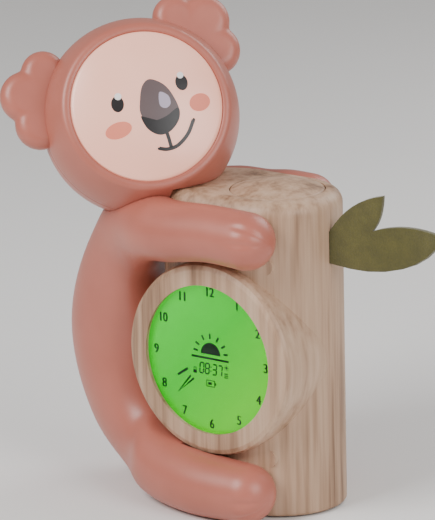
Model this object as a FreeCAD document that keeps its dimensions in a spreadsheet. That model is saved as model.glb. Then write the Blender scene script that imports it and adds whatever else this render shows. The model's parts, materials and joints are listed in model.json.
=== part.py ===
import FreeCAD, Part
import math
import os
import re

import Sketcher
from FreeCAD import Placement, Rotation, Vector

# A child's alarm clock: a tree-trunk housing with a round backlit display on a drum,
# hugged by a koala whose head is a night light. Millimetres, +Z up. The origin is on the
# table under the middle of the trunk's round end. The display faces -Y, the koala is at -X.

SIZES = {
    # trunk housing
    "trunk_radius": 25, "trunk_reach": 24, "trunk_height": 125, "trunk_wall": 2.2, "trunk_foot": 0.6,
    "top_round": 5.5, "foot_round": 1.5, "seam_gap": 0.1, "fit_gap": 0.3, "close_fit": 0.05,
    # display drum and what it holds, from front to back
    "drum_radius": 38, "drum_front": 30, "drum_x": -13, "drum_z": 61.5, "drum_wall": 2.6,
    "drum_round": 2.5, "opening_radius": 29.5, "front_wall": 1.5, "window_radius": 30.9,
    "window_thickness": 1.2, "glass_thickness": 1.8, "guide_thickness": 3, "frame_wall": 1.1,
    "frame_ledge": 3, "frame_flange": 35, "frame_ring": 34, "frame_post": 1.8, "lamp_gap": 3.8,
    "display_board_radius": 33, "led_side": 3, "led_height": 0.9, "led_ring": 18,
    # lamp button on top
    "button_radius": 18.3, "button_dome": 3.3, "button_edge": 0.3, "button_travel": 1.5,
    "button_shell": 1.8, "button_roof": 1.5, "button_flange": 20, "flange_thickness": 1.5,
    "carrier_level": 106, "carrier_thickness": 2, "plunger_radius": 3, "spring_radius": 7.5,
    "spring_wire": 0.9, "spring_turns": 5, "button_board_radius": 12, "tact_side": 6,
    "tact_height": 3.6, "carrier_post_x": 6,
    # rear keys, speaker and socket
    "rear_x": -12, "key_radius": 3.2, "key_flange": 4, "key_travel": 0.7, "key_proud": 0.9,
    "key_spread": 7, "key_row": 6.5, "key_z": 80.5, "key_board_depth": 9.2, "stem_radius": 1.5,
    "key_board_width": 24, "key_board_height": 25, "key_post_rise": 10.2,
    "speaker_radius": 14, "speaker_depth": 6, "magnet_radius": 8.5, "magnet_depth": 5,
    "speaker_z": 50, "grille_hole": 1, "gasket_thickness": 0.8, "clamp_thickness": 1.2,
    "clamp_reach": 17.5, "port_z": 31, "port_width": 9, "port_height": 3.3, "port_depth": 7.4,
    # boards and cell
    "board_thickness": 1.6, "main_board_y": -10, "main_board_left": -29, "main_board_right": -1,
    "main_board_low": 27, "main_board_high": 99, "board_inset": 3, "cell_radius": 9.2,
    "cell_length": 65, "cell_x": 11, "cell_y": 2.5, "cell_low": 30, "holder_wall": 1.4,
    # base
    "base_thickness": 2.2, "pad_thickness": 1.2, "pad_inset": 5, "base_post_height": 12,
    "screw_radius": 1.2, "screw_head": 2.2, "head_height": 1.2, "post_radius": 2.6,
    "shell_screw_x": 22, "shell_screw_low": 24, "shell_screw_high": 100.5, "post_in_wall": 2.3,
    # koala's body
    "body_wall": 2, "arm_level": 112, "leg_level": 12, "limb_y": 31, "limb_tip": 8, "limb_tip_rear": -8,
    "arm_radius": 11.2, "leg_radius": 11.5, "back_x": -72.8, "back_radius": 24, "pivot_x": -42,
    "limb_post_x": -21, "limb_post_depth": 9, "seam_post_x": -84, "seam_post_spread": 17,
    # koala's head, in its own frame from its middle outward
    "head_x": -59.8, "head_y": -8, "head_z": 147.1, "head_radius": 38.5, "head_wall": 2.2,
    "face_turn": 46, "face_lift": 25, "face_roll": 20, "face_plane": 20.8, "head_seam": 2,
    "face_radius": 29.3, "face_dome": 5, "lens_thickness": 2.2, "lens_flange": 30.6,
    "lens_rim": 3.3, "head_floor": 1.4, "head_post_ring": 33.6, "head_post_depth": 8,
    "lamp_board_radius": 21, "lamp_board_depth": 6, "reflector_wall": 1.2, "reflector_flange": 12,
    "reflector_post_ring": 32.6, "face_led_ring": 12, "neck_x": -35, "neck_y": -9,
    "neck_radius": 3.2, "neck_bore": 2, "neck_nut": 5, "nut_height": 3,
    # ears and leaf
    "ear_thickness": 10.5, "ear_tab": 3, "ear_tab_width": 12, "ear_tab_depth": 3.5,
    "leaf_thickness": 2, "leaf_low": 99, "leaf_high": 111.6, "leaf_tab": 1.6, "leaf_play": 0.15,
}

doc = FreeCAD.newDocument("koala_clock")
sheet = doc.addObject("Spreadsheet::Sheet", "Sizes")
for row, (alias, number) in enumerate(SIZES.items(), start=1):
    sheet.set("A%d" % row, alias)
    sheet.set("B%d" % row, str(number))
    sheet.setAlias("B%d" % row, alias)
doc.recompute()

ALIAS = re.compile(r"\b(" + "|".join(sorted(SIZES, key=len, reverse=True)) + r")\b")
TO_FRONT = Rotation(Vector(1, 0, 0), 90)     # a shape's own +Z points to -Y
TO_BACK = Rotation(Vector(1, 0, 0), -90)     # a shape's own +Z points to +Y
FAR = 400      # past every piece
FACETS = 14    # round one limb
nodes = []


def linked(formula):
    """A formula of aliases, written the way the document reads it."""
    return ALIAS.sub(r"Sizes.\1", str(formula))


def value(formula):
    """What a formula comes to now."""
    return float(sheet.evalExpression(linked(formula)))


def bind(thing, prop, formula):
    thing.setExpression(prop, linked(formula))


def seat(thing, at=(0, 0, 0), turn=None):
    """Turns a thing and ties its place to three formulas."""
    thing.Placement = Placement(Vector(), turn or Rotation())
    for axis, formula in zip("xyz", at):
        bind(thing, "Placement.Base." + axis, formula)
    return thing


def rod(name, radius, length, at=(0, 0, 0), turn=None):
    thing = doc.addObject("Part::Cylinder", name)
    bind(thing, "Radius", radius)
    bind(thing, "Height", length)
    return seat(thing, at, turn)


def ball(name, radius, at=(0, 0, 0)):
    thing = doc.addObject("Part::Sphere", name)
    bind(thing, "Radius", radius)
    return seat(thing, at)


def cone(name, low, high, length, at=(0, 0, 0), turn=None):
    thing = doc.addObject("Part::Cone", name)
    bind(thing, "Radius1", low)
    bind(thing, "Radius2", high)
    bind(thing, "Height", length)
    return seat(thing, at, turn)


def block(name, spans, turn=None):
    """A box between two formulas along each axis."""
    thing = doc.addObject("Part::Box", name)
    for prop, (low, high) in zip(("Length", "Width", "Height"), spans):
        bind(thing, prop, "(%s) - (%s)" % (high, low))
    return seat(thing, [low for low, high in spans], turn)


def join(name, *things):
    made = doc.addObject("Part::MultiFuse", name)
    made.Shapes = list(things)
    return made


def carve(name, base, *tools):
    made = doc.addObject("Part::Cut", name)
    made.Base = base
    made.Tool = tools[0] if len(tools) == 1 else join(name + "_tools", *tools)
    return made


def overlap(name, one, other):
    made = doc.addObject("Part::Common", name)
    made.Base = one
    made.Tool = other
    return made


def node(thing, label):
    thing.Label = label
    nodes.append(thing)
    return thing


def tied(sketch, kind, formula, *places):
    """Adds a sketch dimension and ties it to a formula."""
    index = sketch.addConstraint(Sketcher.Constraint(kind, *places, value(formula)))
    sketch.setExpression("Constraints[%d]" % index, linked(formula))


def sketch_on(body, role, name):
    sketch = body.newObject("Sketcher::SketchObject", name)
    plane = [part for part in body.Origin.OriginFeatures if part.Role == role][0]
    sketch.AttachmentSupport = [(plane, "")]
    sketch.MapMode = "FlatFace"
    return sketch


def turned(name, outline, at=(0, 0, 0), turn=None):
    """A body of revolution about its own Z; the outline's corners are (radius, level) formulas."""
    body = doc.addObject("PartDesign::Body", name)
    sketch = sketch_on(body, "XZ_Plane", name + "_outline")
    spots = [Vector(value(across), value(along), 0) for across, along in outline]
    count = len(spots)
    for i in range(count):
        sketch.addGeometry(Part.LineSegment(spots[i], spots[(i + 1) % count]), False)
    for i in range(count):
        sketch.addConstraint(Sketcher.Constraint("Coincident", i, 2, (i + 1) % count, 1))
    for i, corner in enumerate(outline):
        for kind, formula, axis in zip(("DistanceX", "DistanceY"), corner, (-2, -1)):
            if abs(value(formula)) < 1e-9:
                sketch.addConstraint(Sketcher.Constraint("PointOnObject", i, 1, axis))
            else:
                tied(sketch, kind, formula, -1, 1, i, 1)
    spin = body.newObject("PartDesign::Revolution", name + "_turn")
    spin.Profile = sketch
    spin.ReferenceAxis = (sketch, ["V_Axis"])
    spin.Angle = 360
    body.Tip = spin
    return seat(body, at, turn)


def round_ended(name, radius, reach, low, high, top=None, bottom=None):
    """An upright prism with two round ends; its top and bottom edges may be rounded."""
    body = doc.addObject("PartDesign::Body", name)
    sketch = sketch_on(body, "XY_Plane", name + "_outline")
    r, away = value(radius), value(reach)
    up, across = Vector(0, 0, 1), Vector(-away, 0, 0)
    sketch.addGeometry(Part.LineSegment(Vector(-away, r, 0), Vector(0, r, 0)), False)
    right = Part.ArcOfCircle(Part.Circle(Vector(), up, r), -math.pi / 2, math.pi / 2)
    sketch.addGeometry(right, False)
    sketch.addGeometry(Part.LineSegment(Vector(0, -r, 0), Vector(-away, -r, 0)), False)
    left = Part.ArcOfCircle(Part.Circle(across, up, r), math.pi / 2, 1.5 * math.pi)
    sketch.addGeometry(left, False)
    for first, start, second, end in ((0, 2, 1, 2), (1, 1, 2, 1), (2, 2, 3, 2), (3, 1, 0, 1)):
        sketch.addConstraint(Sketcher.Constraint("Tangent", first, start, second, end))
    sketch.addConstraint(Sketcher.Constraint("Coincident", 1, 3, -1, 1))
    sketch.addConstraint(Sketcher.Constraint("PointOnObject", 3, 3, -1))
    sketch.addConstraint(Sketcher.Constraint("Equal", 1, 3))
    tied(sketch, "Radius", radius, 1)
    tied(sketch, "DistanceX", reach, 3, 3, -1, 1)
    made = body.newObject("PartDesign::Pad", name + "_pad")
    made.Profile = sketch
    bind(made, "Length", "(%s) - (%s)" % (high, low))
    body.Tip = made
    doc.recompute()
    for formula, end in ((top, value("(%s) - (%s)" % (high, low))), (bottom, 0.0)):
        if formula is None:
            continue
        rim = ["Edge%d" % (i + 1) for i, edge in enumerate(made.Shape.Edges)
               if abs(edge.BoundBox.ZMin - end) < 1e-6 and abs(edge.BoundBox.ZMax - end) < 1e-6]
        soft = body.newObject("PartDesign::Fillet", "%s_round_%d" % (name, end > 0))
        soft.Base = (made, rim)
        bind(soft, "Radius", formula)
        body.Tip = soft
        made = soft
        doc.recompute()
    return seat(body, (0, 0, low))


def back_from(spot, direction, distance):
    """A spot moved against a direction by a formula."""
    return ["(%s) - (%s) * (%s)" % (here, round(part, 6), distance)
            for here, part in zip(spot, direction)]


def screw_set(label, spots, length, turn=None):
    """Identical screws: each spot is where the head's underside seats."""
    direction = (turn or Rotation()).multVec(Vector(0, 0, 1))
    parts = []
    for i, spot in enumerate(spots):
        parts.append(rod("%s_shank_%d" % (label, i), "screw_radius", length, spot, turn))
        behind = back_from(spot, direction, "head_height")
        parts.append(rod("%s_head_%d" % (label, i), "screw_head", "head_height", behind, turn))
    return join(label, *parts)


def bores(name, spots, length, turn=None, radius="screw_radius + close_fit"):
    return [rod("%s_%d" % (name, i), radius, length, spot, turn) for i, spot in enumerate(spots)]


def ring_spots(ring, level, count, start=0.0, about=("0", "0")):
    """Spots evenly round a circle in the XY plane, as formulas."""
    spots = []
    for i in range(count):
        angle = math.radians(start + 360.0 * i / count)
        spots.append(("%s + (%s) * %.6f" % (about[0], ring, math.cos(angle)),
                      "%s + (%s) * %.6f" % (about[1], ring, math.sin(angle)), level))
    return spots


def facing(spots, front):
    """Ring spots turned into the display's plane: (x, z) become (x, front, z)."""
    return [(x, front, z) for x, z, level in spots]


def crosswise(x_spots, z_spots, y):
    return [(x, y, z) for x in x_spots for z in z_spots]


# Levels that several pieces share
INNER = "(trunk_radius - trunk_wall)"
WINDOW_Y = "-(drum_front - front_wall)"
GLASS_Y = "-(drum_front - front_wall - window_thickness)"
GUIDE_Y = "-(drum_front - front_wall - window_thickness - glass_thickness)"
LEDGE_Y = "-(drum_front - front_wall - window_thickness - glass_thickness - guide_thickness)"
DISPLAY_Y = "(%s + lamp_gap)" % LEDGE_Y
BASE_LOW = "pad_thickness"
BASE_TOP = "(pad_thickness + base_thickness)"
ROOF = "(trunk_height - trunk_wall)"
CARRIER_TOP = "(carrier_level + carrier_thickness)"
SHELL_SCREW_X = ("rear_x + shell_screw_x", "rear_x - shell_screw_x")
SHELL_SCREW_Z = ("shell_screw_low", "shell_screw_high")
BOARD_X = ("main_board_left + board_inset", "main_board_right - board_inset")
BOARD_Z = ("main_board_low + board_inset", "main_board_high - board_inset")
KEY_BOARD_Y = "(%s - key_board_depth)" % INNER
SPEAKER_Y = "(%s - gasket_thickness)" % INNER
CLAMP_Y = "(%s - speaker_depth)" % SPEAKER_Y
CLAMP_X = ("rear_x + clamp_reach", "rear_x - clamp_reach")
LIMB_Z = ("leg_level", "arm_level")
HEAD_AT = ("head_x", "head_y", "head_z")


def half(name, thing, side):
    """The part of a thing on one side of the seam plane: -1 is the display's side."""
    low, high = ("-%d" % FAR, "-seam_gap / 2") if side < 0 else ("seam_gap / 2", "%d" % FAR)
    keep = block(name + "_side", (("-%d" % FAR, "%d" % FAR), (low, high), ("-%d" % FAR, "%d" % FAR)))
    return overlap(name, thing, keep)


def base_post_spots(side):
    """Where the base cover's screws meet the posts in one shell."""
    ring = "(%s - %s)" % (INNER, "post_in_wall")
    return [("%s * 0.7" % ring, "%d * %s * 0.714" % (side, ring), BASE_TOP),
            ("-trunk_reach - %s * 0.7" % ring, "%d * %s * 0.714" % (side, ring), BASE_TOP)]


def carrier_post_spots(side):
    """Where the button carrier's screws meet the posts in one shell."""
    ring = "(%s - %s)" % (INNER, "post_in_wall")
    return [("carrier_post_x", "%d * sqrt(%s * %s - carrier_post_x * carrier_post_x)"
             % (side, ring, ring), "carrier_level"),
            ("-carrier_post_x", "%d * %s" % (side, ring), "carrier_level")]


def limb_spots(side, reach):
    return [("limb_post_x", "%d * (%s)" % (side, reach), z) for z in LIMB_Z]


def trunk_volumes(name, grow):
    """The housing's outside, grown by a formula: a rounded trunk and the display's drum."""
    trunk = round_ended(name + "_trunk", "trunk_radius + %s" % grow, "trunk_reach",
                        "trunk_foot - %s" % grow, "trunk_height + %s" % grow,
                        "top_round", "foot_round")
    drum = turned(name + "_drum", [
        ("0", "0"), ("drum_radius + %s" % grow, "0"),
        ("drum_radius + %s" % grow, "drum_front + %s - drum_round" % grow),
        ("drum_radius + %s - drum_round * 0.293" % grow, "drum_front + %s - drum_round * 0.293" % grow),
        ("drum_radius + %s - drum_round" % grow, "drum_front + %s" % grow),
        ("0", "drum_front + %s" % grow)], ("drum_x", "0", "drum_z"), TO_FRONT)
    return trunk, drum


def trunk_cavity(name):
    trunk = round_ended(name + "_trunk", INNER, "trunk_reach", "-1", ROOF, "top_round - trunk_wall")
    drum = rod(name + "_drum", "drum_radius - drum_wall", "drum_front - front_wall",
               ("drum_x", "0", "drum_z"), TO_FRONT)
    return trunk, drum


def top_cuts(name):
    return [rod(name + "_button", "button_radius + fit_gap", "20", (0, 0, "trunk_height - 10")),
            rod(name + "_neck", "neck_radius + close_fit", "20",
                ("neck_x", "neck_y", "trunk_height - 10")),
            block(name + "_leaf", ((INNER + " - 1", "trunk_radius + 1"),
                                   ("-leaf_thickness / 2 - leaf_play", "leaf_thickness / 2 + leaf_play"),
                                   ("leaf_low - leaf_play", "leaf_high + leaf_play")))]


def shell_posts(name, side):
    """The posts that stand inside one housing shell, each rooted in its wall."""
    posts = []
    for i, spot in enumerate(base_post_spots(side)):
        posts.append(rod("%s_base_%d" % (name, i), "post_radius", "base_post_height", spot))
    for i, (x, y, z) in enumerate(carrier_post_spots(side)):
        posts.append(rod("%s_carrier_%d" % (name, i), "post_radius", "8", (x, y, z + " - 8")))
    wall_y = "sqrt(trunk_radius * trunk_radius - (shell_screw_x - trunk_reach / 2) ^ 2)"
    depth = wall_y + " - 0.5"
    for i, (x, z) in enumerate((x, z) for x in SHELL_SCREW_X for z in SHELL_SCREW_Z):
        start = (x, "-seam_gap / 2" if side < 0 else "seam_gap / 2", z)
        posts.append(rod("%s_seam_%d" % (name, i), "screw_head + 1.3", depth, start,
                         TO_FRONT if side < 0 else TO_BACK))
    return posts


def make_front_shell():
    skin = join("front_skin", *trunk_volumes("front_outer", "0"))
    hollow = join("front_hollow", *trunk_cavity("front_inner"))
    shell = carve("front_open", skin, hollow,
                  rod("front_opening", "opening_radius", "drum_front + 5",
                      ("drum_x", "0", "drum_z"), TO_FRONT),
                  *top_cuts("front_top"))
    shell = half("front_half", shell, -1)
    posts = shell_posts("front_post", -1)
    frame_ring = facing(ring_spots("frame_ring", "0", 4, 45, ("drum_x", "drum_z")), LEDGE_Y)
    for i, spot in enumerate(frame_ring):
        posts.append(rod("frame_post_%d" % i, "frame_post",
                         "window_thickness + glass_thickness + guide_thickness + front_wall / 2",
                         spot, TO_FRONT))
    holes = bores("front_frame_bore", frame_ring, "6", TO_FRONT)
    holes += bores("front_seam_bore", crosswise(SHELL_SCREW_X, SHELL_SCREW_Z, "0"), "12", TO_FRONT)
    holes += bores("front_base_bore", base_post_spots(-1), "9")
    holes += bores("front_limb_bore", limb_spots(-1, "trunk_radius - 6"), "12", TO_FRONT)
    holes += bores("front_carrier_bore", [(x, y, z + " - 7") for x, y, z in carrier_post_spots(-1)], "8")
    return node(carve("trunk_front_shell", join("front_with_posts", shell, *posts), *holes),
                "trunk_front_shell")


def grille_spots():
    """Speaker holes: one in the middle and three rings of six, twelve and eighteen."""
    spots = [("rear_x", INNER + " - 1", "speaker_z")]
    for ring, count in ((3.4, 6), (6.8, 12), (10.2, 18)):
        for x, z, level in ring_spots(ring, "0", count, 0, ("rear_x", "speaker_z")):
            spots.append((x, INNER + " - 1", z))
    return spots


def key_spots(y):
    return crosswise(("rear_x - key_spread", "rear_x + key_spread"),
                     ("key_z - key_row", "key_z + key_row"), y)


def make_rear_shell():
    outer = round_ended("rear_outer", "trunk_radius", "trunk_reach", "trunk_foot", "trunk_height",
                        "top_round", "foot_round")
    inner = round_ended("rear_inner", INNER, "trunk_reach", "-1", ROOF, "top_round - trunk_wall")
    shell = half("rear_half", carve("rear_open", outer, inner, *top_cuts("rear_top")), 1)
    posts = shell_posts("rear_post", 1)
    for i, spot in enumerate(crosswise(BOARD_X, BOARD_Z, "main_board_y + board_thickness")):
        x = spot[0]
        deep = "sqrt(%s ^ 2 - %s ^ 2)" % (INNER, "(%s + trunk_reach)" % x) if i < 2 else INNER
        posts.append(rod("board_post_%d" % i, "post_radius",
                         "%s + 0.6 - main_board_y - board_thickness" % deep, spot, TO_BACK))
    for i, z in enumerate(("key_z - key_post_rise", "key_z + key_post_rise")):
        posts.append(rod("key_post_%d" % i, "post_radius", "key_board_depth + 0.5",
                         ("rear_x", KEY_BOARD_Y, z), TO_BACK))
    for i, x in enumerate(CLAMP_X):
        posts.append(rod("clamp_post_%d" % i, "post_radius", "speaker_depth + gasket_thickness",
                         (x, CLAMP_Y, "speaker_z"), TO_BACK))
    posts.append(block("port_shelf", (("rear_x - port_width / 2 - 0.6", "rear_x + port_width / 2 + 0.6"),
                                      (INNER + " - port_depth", INNER + " + 0.5"),
                                      ("port_z - port_height / 2 - 3.2", "port_z - port_height / 2 - 1.2"))))
    holes = bores("rear_seam_bore", crosswise(SHELL_SCREW_X, SHELL_SCREW_Z, "0"), "30", TO_BACK)
    holes += bores("rear_seam_sink", crosswise(SHELL_SCREW_X, SHELL_SCREW_Z, "trunk_radius - 7"), "20",
                   TO_BACK, "screw_head + fit_gap")
    holes += bores("rear_base_bore", base_post_spots(1), "9")
    holes += bores("rear_limb_bore", limb_spots(1, "trunk_radius - 6"), "12", TO_BACK)
    holes += bores("rear_carrier_bore", [(x, y, z + " - 7") for x, y, z in carrier_post_spots(1)], "8")
    holes += bores("rear_board_bore", crosswise(BOARD_X, BOARD_Z, "main_board_y"), "9", TO_BACK)
    holes += bores("rear_key_bore", [("rear_x", KEY_BOARD_Y, z) for z in
                                     ("key_z - key_post_rise", "key_z + key_post_rise")], "7", TO_BACK)
    holes += bores("rear_clamp_bore", [(x, CLAMP_Y, "speaker_z") for x in CLAMP_X], "5", TO_BACK)
    holes += bores("rear_key_hole", key_spots(INNER + " - 2"), "10", TO_BACK, "key_radius + 0.08")
    holes += bores("rear_grille", grille_spots(), "10", TO_BACK, "grille_hole")
    holes.append(block("rear_port", (("rear_x - port_width / 2 - 0.1", "rear_x + port_width / 2 + 0.1"),
                                     (INNER + " - 1", "trunk_radius + 1"),
                                     ("port_z - port_height / 2 - 0.1", "port_z + port_height / 2 + 0.1"))))
    return node(carve("trunk_rear_shell", join("rear_with_posts", shell, *posts), *holes),
                "trunk_rear_shell")


def make_base():
    cover = round_ended("cover_plate", INNER + " - fit_gap", "trunk_reach", BASE_LOW, BASE_TOP)
    spots = base_post_spots(-1) + base_post_spots(1)
    tops = [(x, y, z + " - head_height") for x, y, z in spots]
    holes = bores("cover_bore", [(x, y, "0") for x, y, z in spots], "9")
    holes += bores("cover_sink", [(x, y, "0") for x, y, z in spots],
                   BASE_TOP + " - head_height + 0.2", None, "screw_head + 0.1")
    node(carve("base_cover", cover, *holes), "base_cover")
    low = [(x, y, BASE_TOP + " - head_height + 0.2") for x, y, z in spots]
    node(screw_set("base_cover_screws", low, "9"), "base_cover_screws")
    pad = round_ended("rubber_pad", "trunk_radius - pad_inset", "trunk_reach", "0", BASE_LOW)
    node(carve("base_pad", pad, *bores("pad_hole", [(x, y, "-1") for x, y, z in spots], "5", None,
                                       "screw_head + 0.4")), "base_pad")


def make_shell_screws():
    low = "trunk_radius - 7"
    node(screw_set("shell_screws", crosswise(SHELL_SCREW_X, SHELL_SCREW_Z, low),
                   low + " + 9", TO_FRONT), "shell_screws")
    spots = limb_spots(-1, INNER) + limb_spots(1, INNER)
    front = screw_set("limb_screws_front", spots[:2], "trunk_wall + 7", TO_FRONT)
    rear = screw_set("limb_screws_rear", spots[2:], "trunk_wall + 7", TO_BACK)
    node(join("body_mount_screws", front, rear), "body_mount_screws")


def display_disc(label, radius, front, thickness):
    return node(rod(label, radius, thickness, ("drum_x", "%s + %s" % (front, thickness), "drum_z"),
                    TO_FRONT), label)


def make_display():
    display_disc("clock_lens", "window_radius", WINDOW_Y, "window_thickness")
    display_disc("lcd_panel", "window_radius", GLASS_Y, "glass_thickness")
    display_disc("light_guide", "window_radius", GUIDE_Y, "guide_thickness")
    ring = facing(ring_spots("frame_ring", "0", 4, 45, ("drum_x", "drum_z")), "0")
    wall = "window_radius + 0.1 + frame_wall"
    frame = turned("frame_ring_body", [
        ("window_radius - frame_ledge", "-(%s)" % DISPLAY_Y), ("frame_flange", "-(%s)" % DISPLAY_Y),
        ("frame_flange", "-(%s)" % LEDGE_Y), (wall, "-(%s)" % LEDGE_Y), (wall, "-(%s)" % WINDOW_Y),
        ("window_radius + 0.1", "-(%s)" % WINDOW_Y), ("window_radius + 0.1", "-(%s)" % LEDGE_Y),
        ("window_radius - frame_ledge", "-(%s)" % LEDGE_Y)], ("drum_x", "0", "drum_z"), TO_FRONT)
    spots = [(x, DISPLAY_Y, z) for x, y, z in ring]
    holes = bores("frame_hole", spots, "9", TO_FRONT)
    node(carve("display_frame", frame, *holes), "display_frame")
    back = "%s + board_thickness" % DISPLAY_Y
    board = rod("display_disc", "frame_flange", "board_thickness", ("drum_x", back, "drum_z"), TO_FRONT)
    heads = [(x, back, z) for x, y, z in ring]
    node(carve("display_board", board, *bores("display_hole", heads, "9", TO_FRONT)), "display_board")
    node(screw_set("display_screws", heads, "8", TO_FRONT), "display_screws")
    leds = []
    for i, (x, z, level) in enumerate(ring_spots("led_ring", "0", 8, 0, ("drum_x", "drum_z"))):
        leds.append(block("dial_led_%d" % i, ((x + " - led_side / 2", x + " + led_side / 2"),
                                              (DISPLAY_Y + " - led_height", DISPLAY_Y),
                                              (z + " - led_side / 2", z + " + led_side / 2"))))
    node(join("display_leds", *leds), "display_leds")


def make_button():
    skirt = "trunk_height + button_edge"
    low = ROOF + " - flange_thickness - 0.1"
    node(turned("top_button", [
        ("0", "%s + button_roof" % ROOF), ("button_radius - button_shell", "%s + button_roof" % ROOF),
        ("button_radius - button_shell", low), ("button_flange", low),
        ("button_flange", low + " + flange_thickness"), ("button_radius", low + " + flange_thickness"),
        ("button_radius", skirt), ("button_radius * 0.92", skirt + " + button_dome * 0.3"),
        ("button_radius * 0.78", skirt + " + button_dome * 0.56"),
        ("button_radius * 0.58", skirt + " + button_dome * 0.78"),
        ("button_radius * 0.32", skirt + " + button_dome * 0.94"),
        ("0", skirt + " + button_dome")]), "top_button")
    plunger_low = CARRIER_TOP + " + board_thickness + tact_height + button_travel + 0.1"
    node(rod("button_plunger", "plunger_radius", "%s + button_roof - (%s)" % (ROOF, plunger_low),
             (0, 0, plunger_low)), "button_plunger")
    outline = round_ended("carrier_outline", INNER + " - fit_gap", "trunk_reach", "carrier_level",
                          CARRIER_TOP)
    keep = block("carrier_keep", (("-button_radius + 4", "60"), ("-60", "60"), ("0", "200")))
    spots = carrier_post_spots(-1) + carrier_post_spots(1)
    notch = block("carrier_notch", (("trunk_radius - 7", "60"), ("-leaf_thickness", "leaf_thickness"),
                                    ("0", "200")))
    node(carve("button_carrier", overlap("carrier_plate", outline, keep), notch,
               *bores("carrier_hole", [(x, y, "carrier_level - 1") for x, y, z in spots], "9")),
         "button_carrier")
    heads = [(x, y, CARRIER_TOP) for x, y, z in spots]
    node(screw_set("carrier_screws", heads, "8", Rotation(Vector(1, 0, 0), 180)), "carrier_screws")
    node(rod("button_board", "button_board_radius", "board_thickness", (0, 0, CARRIER_TOP)),
         "button_board")
    node(block("button_switch", (("-tact_side / 2", "tact_side / 2"), ("-tact_side / 2", "tact_side / 2"),
                                 (CARRIER_TOP + " + board_thickness",
                                  CARRIER_TOP + " + board_thickness + tact_height"))), "button_switch")
    low, high = CARRIER_TOP + " + board_thickness + 0.05", ROOF + " + button_roof - 0.05"
    node(turned("button_spring", [
        ("spring_radius - spring_wire / 2", low), ("spring_radius + spring_wire / 2", low),
        ("spring_radius + spring_wire / 2", high), ("spring_radius - spring_wire / 2", high)]),
        "button_spring")


def make_rear_controls():
    names = ("key_down", "key_mode", "key_up", "key_set")
    switches = []
    for i, (name, spot) in enumerate(zip(names, key_spots("0"))):
        out, inside = "trunk_radius + key_proud", INNER + " - 0.1"
        stem = KEY_BOARD_Y + " + tact_height + key_travel + 0.1"
        node(turned(name, [
            ("0", stem), ("stem_radius", stem), ("stem_radius", inside + " - flange_thickness"),
            ("key_flange", inside + " - flange_thickness"), ("key_flange", inside),
            ("key_radius", inside), ("key_radius", out + " - 0.4"), ("key_radius - 0.4", out),
            ("0", out)], spot, TO_BACK), name)
        switches.append(block("key_switch_%d" % i, (
            (spot[0] + " - tact_side / 2", spot[0] + " + tact_side / 2"),
            (KEY_BOARD_Y, KEY_BOARD_Y + " + tact_height"),
            (spot[2] + " - tact_side / 2", spot[2] + " + tact_side / 2"))))
    node(join("key_switches", *switches), "key_switches")
    board = block("key_board_plate", (("rear_x - key_board_width / 2", "rear_x + key_board_width / 2"),
                                      (KEY_BOARD_Y + " - board_thickness", KEY_BOARD_Y),
                                      ("key_z - key_board_height / 2", "key_z + key_board_height / 2")))
    heads = [("rear_x", KEY_BOARD_Y + " - board_thickness", z) for z in
             ("key_z - key_post_rise", "key_z + key_post_rise")]
    node(carve("key_board", board, *bores("key_board_hole", heads, "9", TO_BACK)), "key_board")
    node(screw_set("key_board_screws", heads, "7", TO_BACK), "key_board_screws")


def make_speaker():
    middle = ("rear_x", "0", "speaker_z")
    node(turned("speaker_gasket", [
        ("speaker_radius - 3", SPEAKER_Y), ("speaker_radius - 1.6", SPEAKER_Y),
        ("speaker_radius - 1.6", INNER), ("speaker_radius - 3", INNER)], middle, TO_BACK),
        "speaker_gasket")
    node(turned("speaker", [
        ("0", CLAMP_Y + " - magnet_depth"), ("magnet_radius", CLAMP_Y + " - magnet_depth"),
        ("magnet_radius", CLAMP_Y), ("speaker_radius", CLAMP_Y), ("speaker_radius", SPEAKER_Y),
        ("0", SPEAKER_Y)], middle, TO_BACK), "speaker")
    ring = rod("clamp_ring", "speaker_radius", "clamp_thickness",
               ("rear_x", CLAMP_Y + " - clamp_thickness", "speaker_z"), TO_BACK)
    bar = block("clamp_bar", (("rear_x - clamp_reach - post_radius", "rear_x + clamp_reach + post_radius"),
                              (CLAMP_Y + " - clamp_thickness", CLAMP_Y),
                              ("speaker_z - post_radius", "speaker_z + post_radius")))
    heads = [(x, CLAMP_Y + " - clamp_thickness", "speaker_z") for x in CLAMP_X]
    node(carve("speaker_clamp", join("clamp_plate", ring, bar),
               rod("clamp_hole", "magnet_radius + 0.5", "9", ("rear_x", CLAMP_Y + " - 4", "speaker_z"),
                   TO_BACK), *bores("clamp_bore", heads, "9", TO_BACK)), "speaker_clamp")
    node(screw_set("speaker_screws", heads, "5", TO_BACK), "speaker_screws")


def make_port():
    back, front = "trunk_radius - 0.4 - port_depth", "trunk_radius - 0.4"
    low, high = "port_z - port_height / 2", "port_z + port_height / 2"
    shell = block("port_shell", (("rear_x - port_width / 2", "rear_x + port_width / 2"), (back, front),
                                 (low, high)))
    mouth = block("port_mouth", (("rear_x - port_width / 2 + 0.35", "rear_x + port_width / 2 - 0.35"),
                                 (front + " - 6", front + " + 1"), (low + " + 0.35", high + " - 0.35")))
    node(carve("usb_socket", shell, mouth), "usb_socket")
    node(block("usb_board", (("rear_x - port_width / 2 - 0.6", "rear_x + port_width / 2 + 0.6"),
                             (INNER + " - port_depth - 2", INNER + " - 0.3"),
                             (low + " - 1.2", low))), "usb_board")


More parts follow.
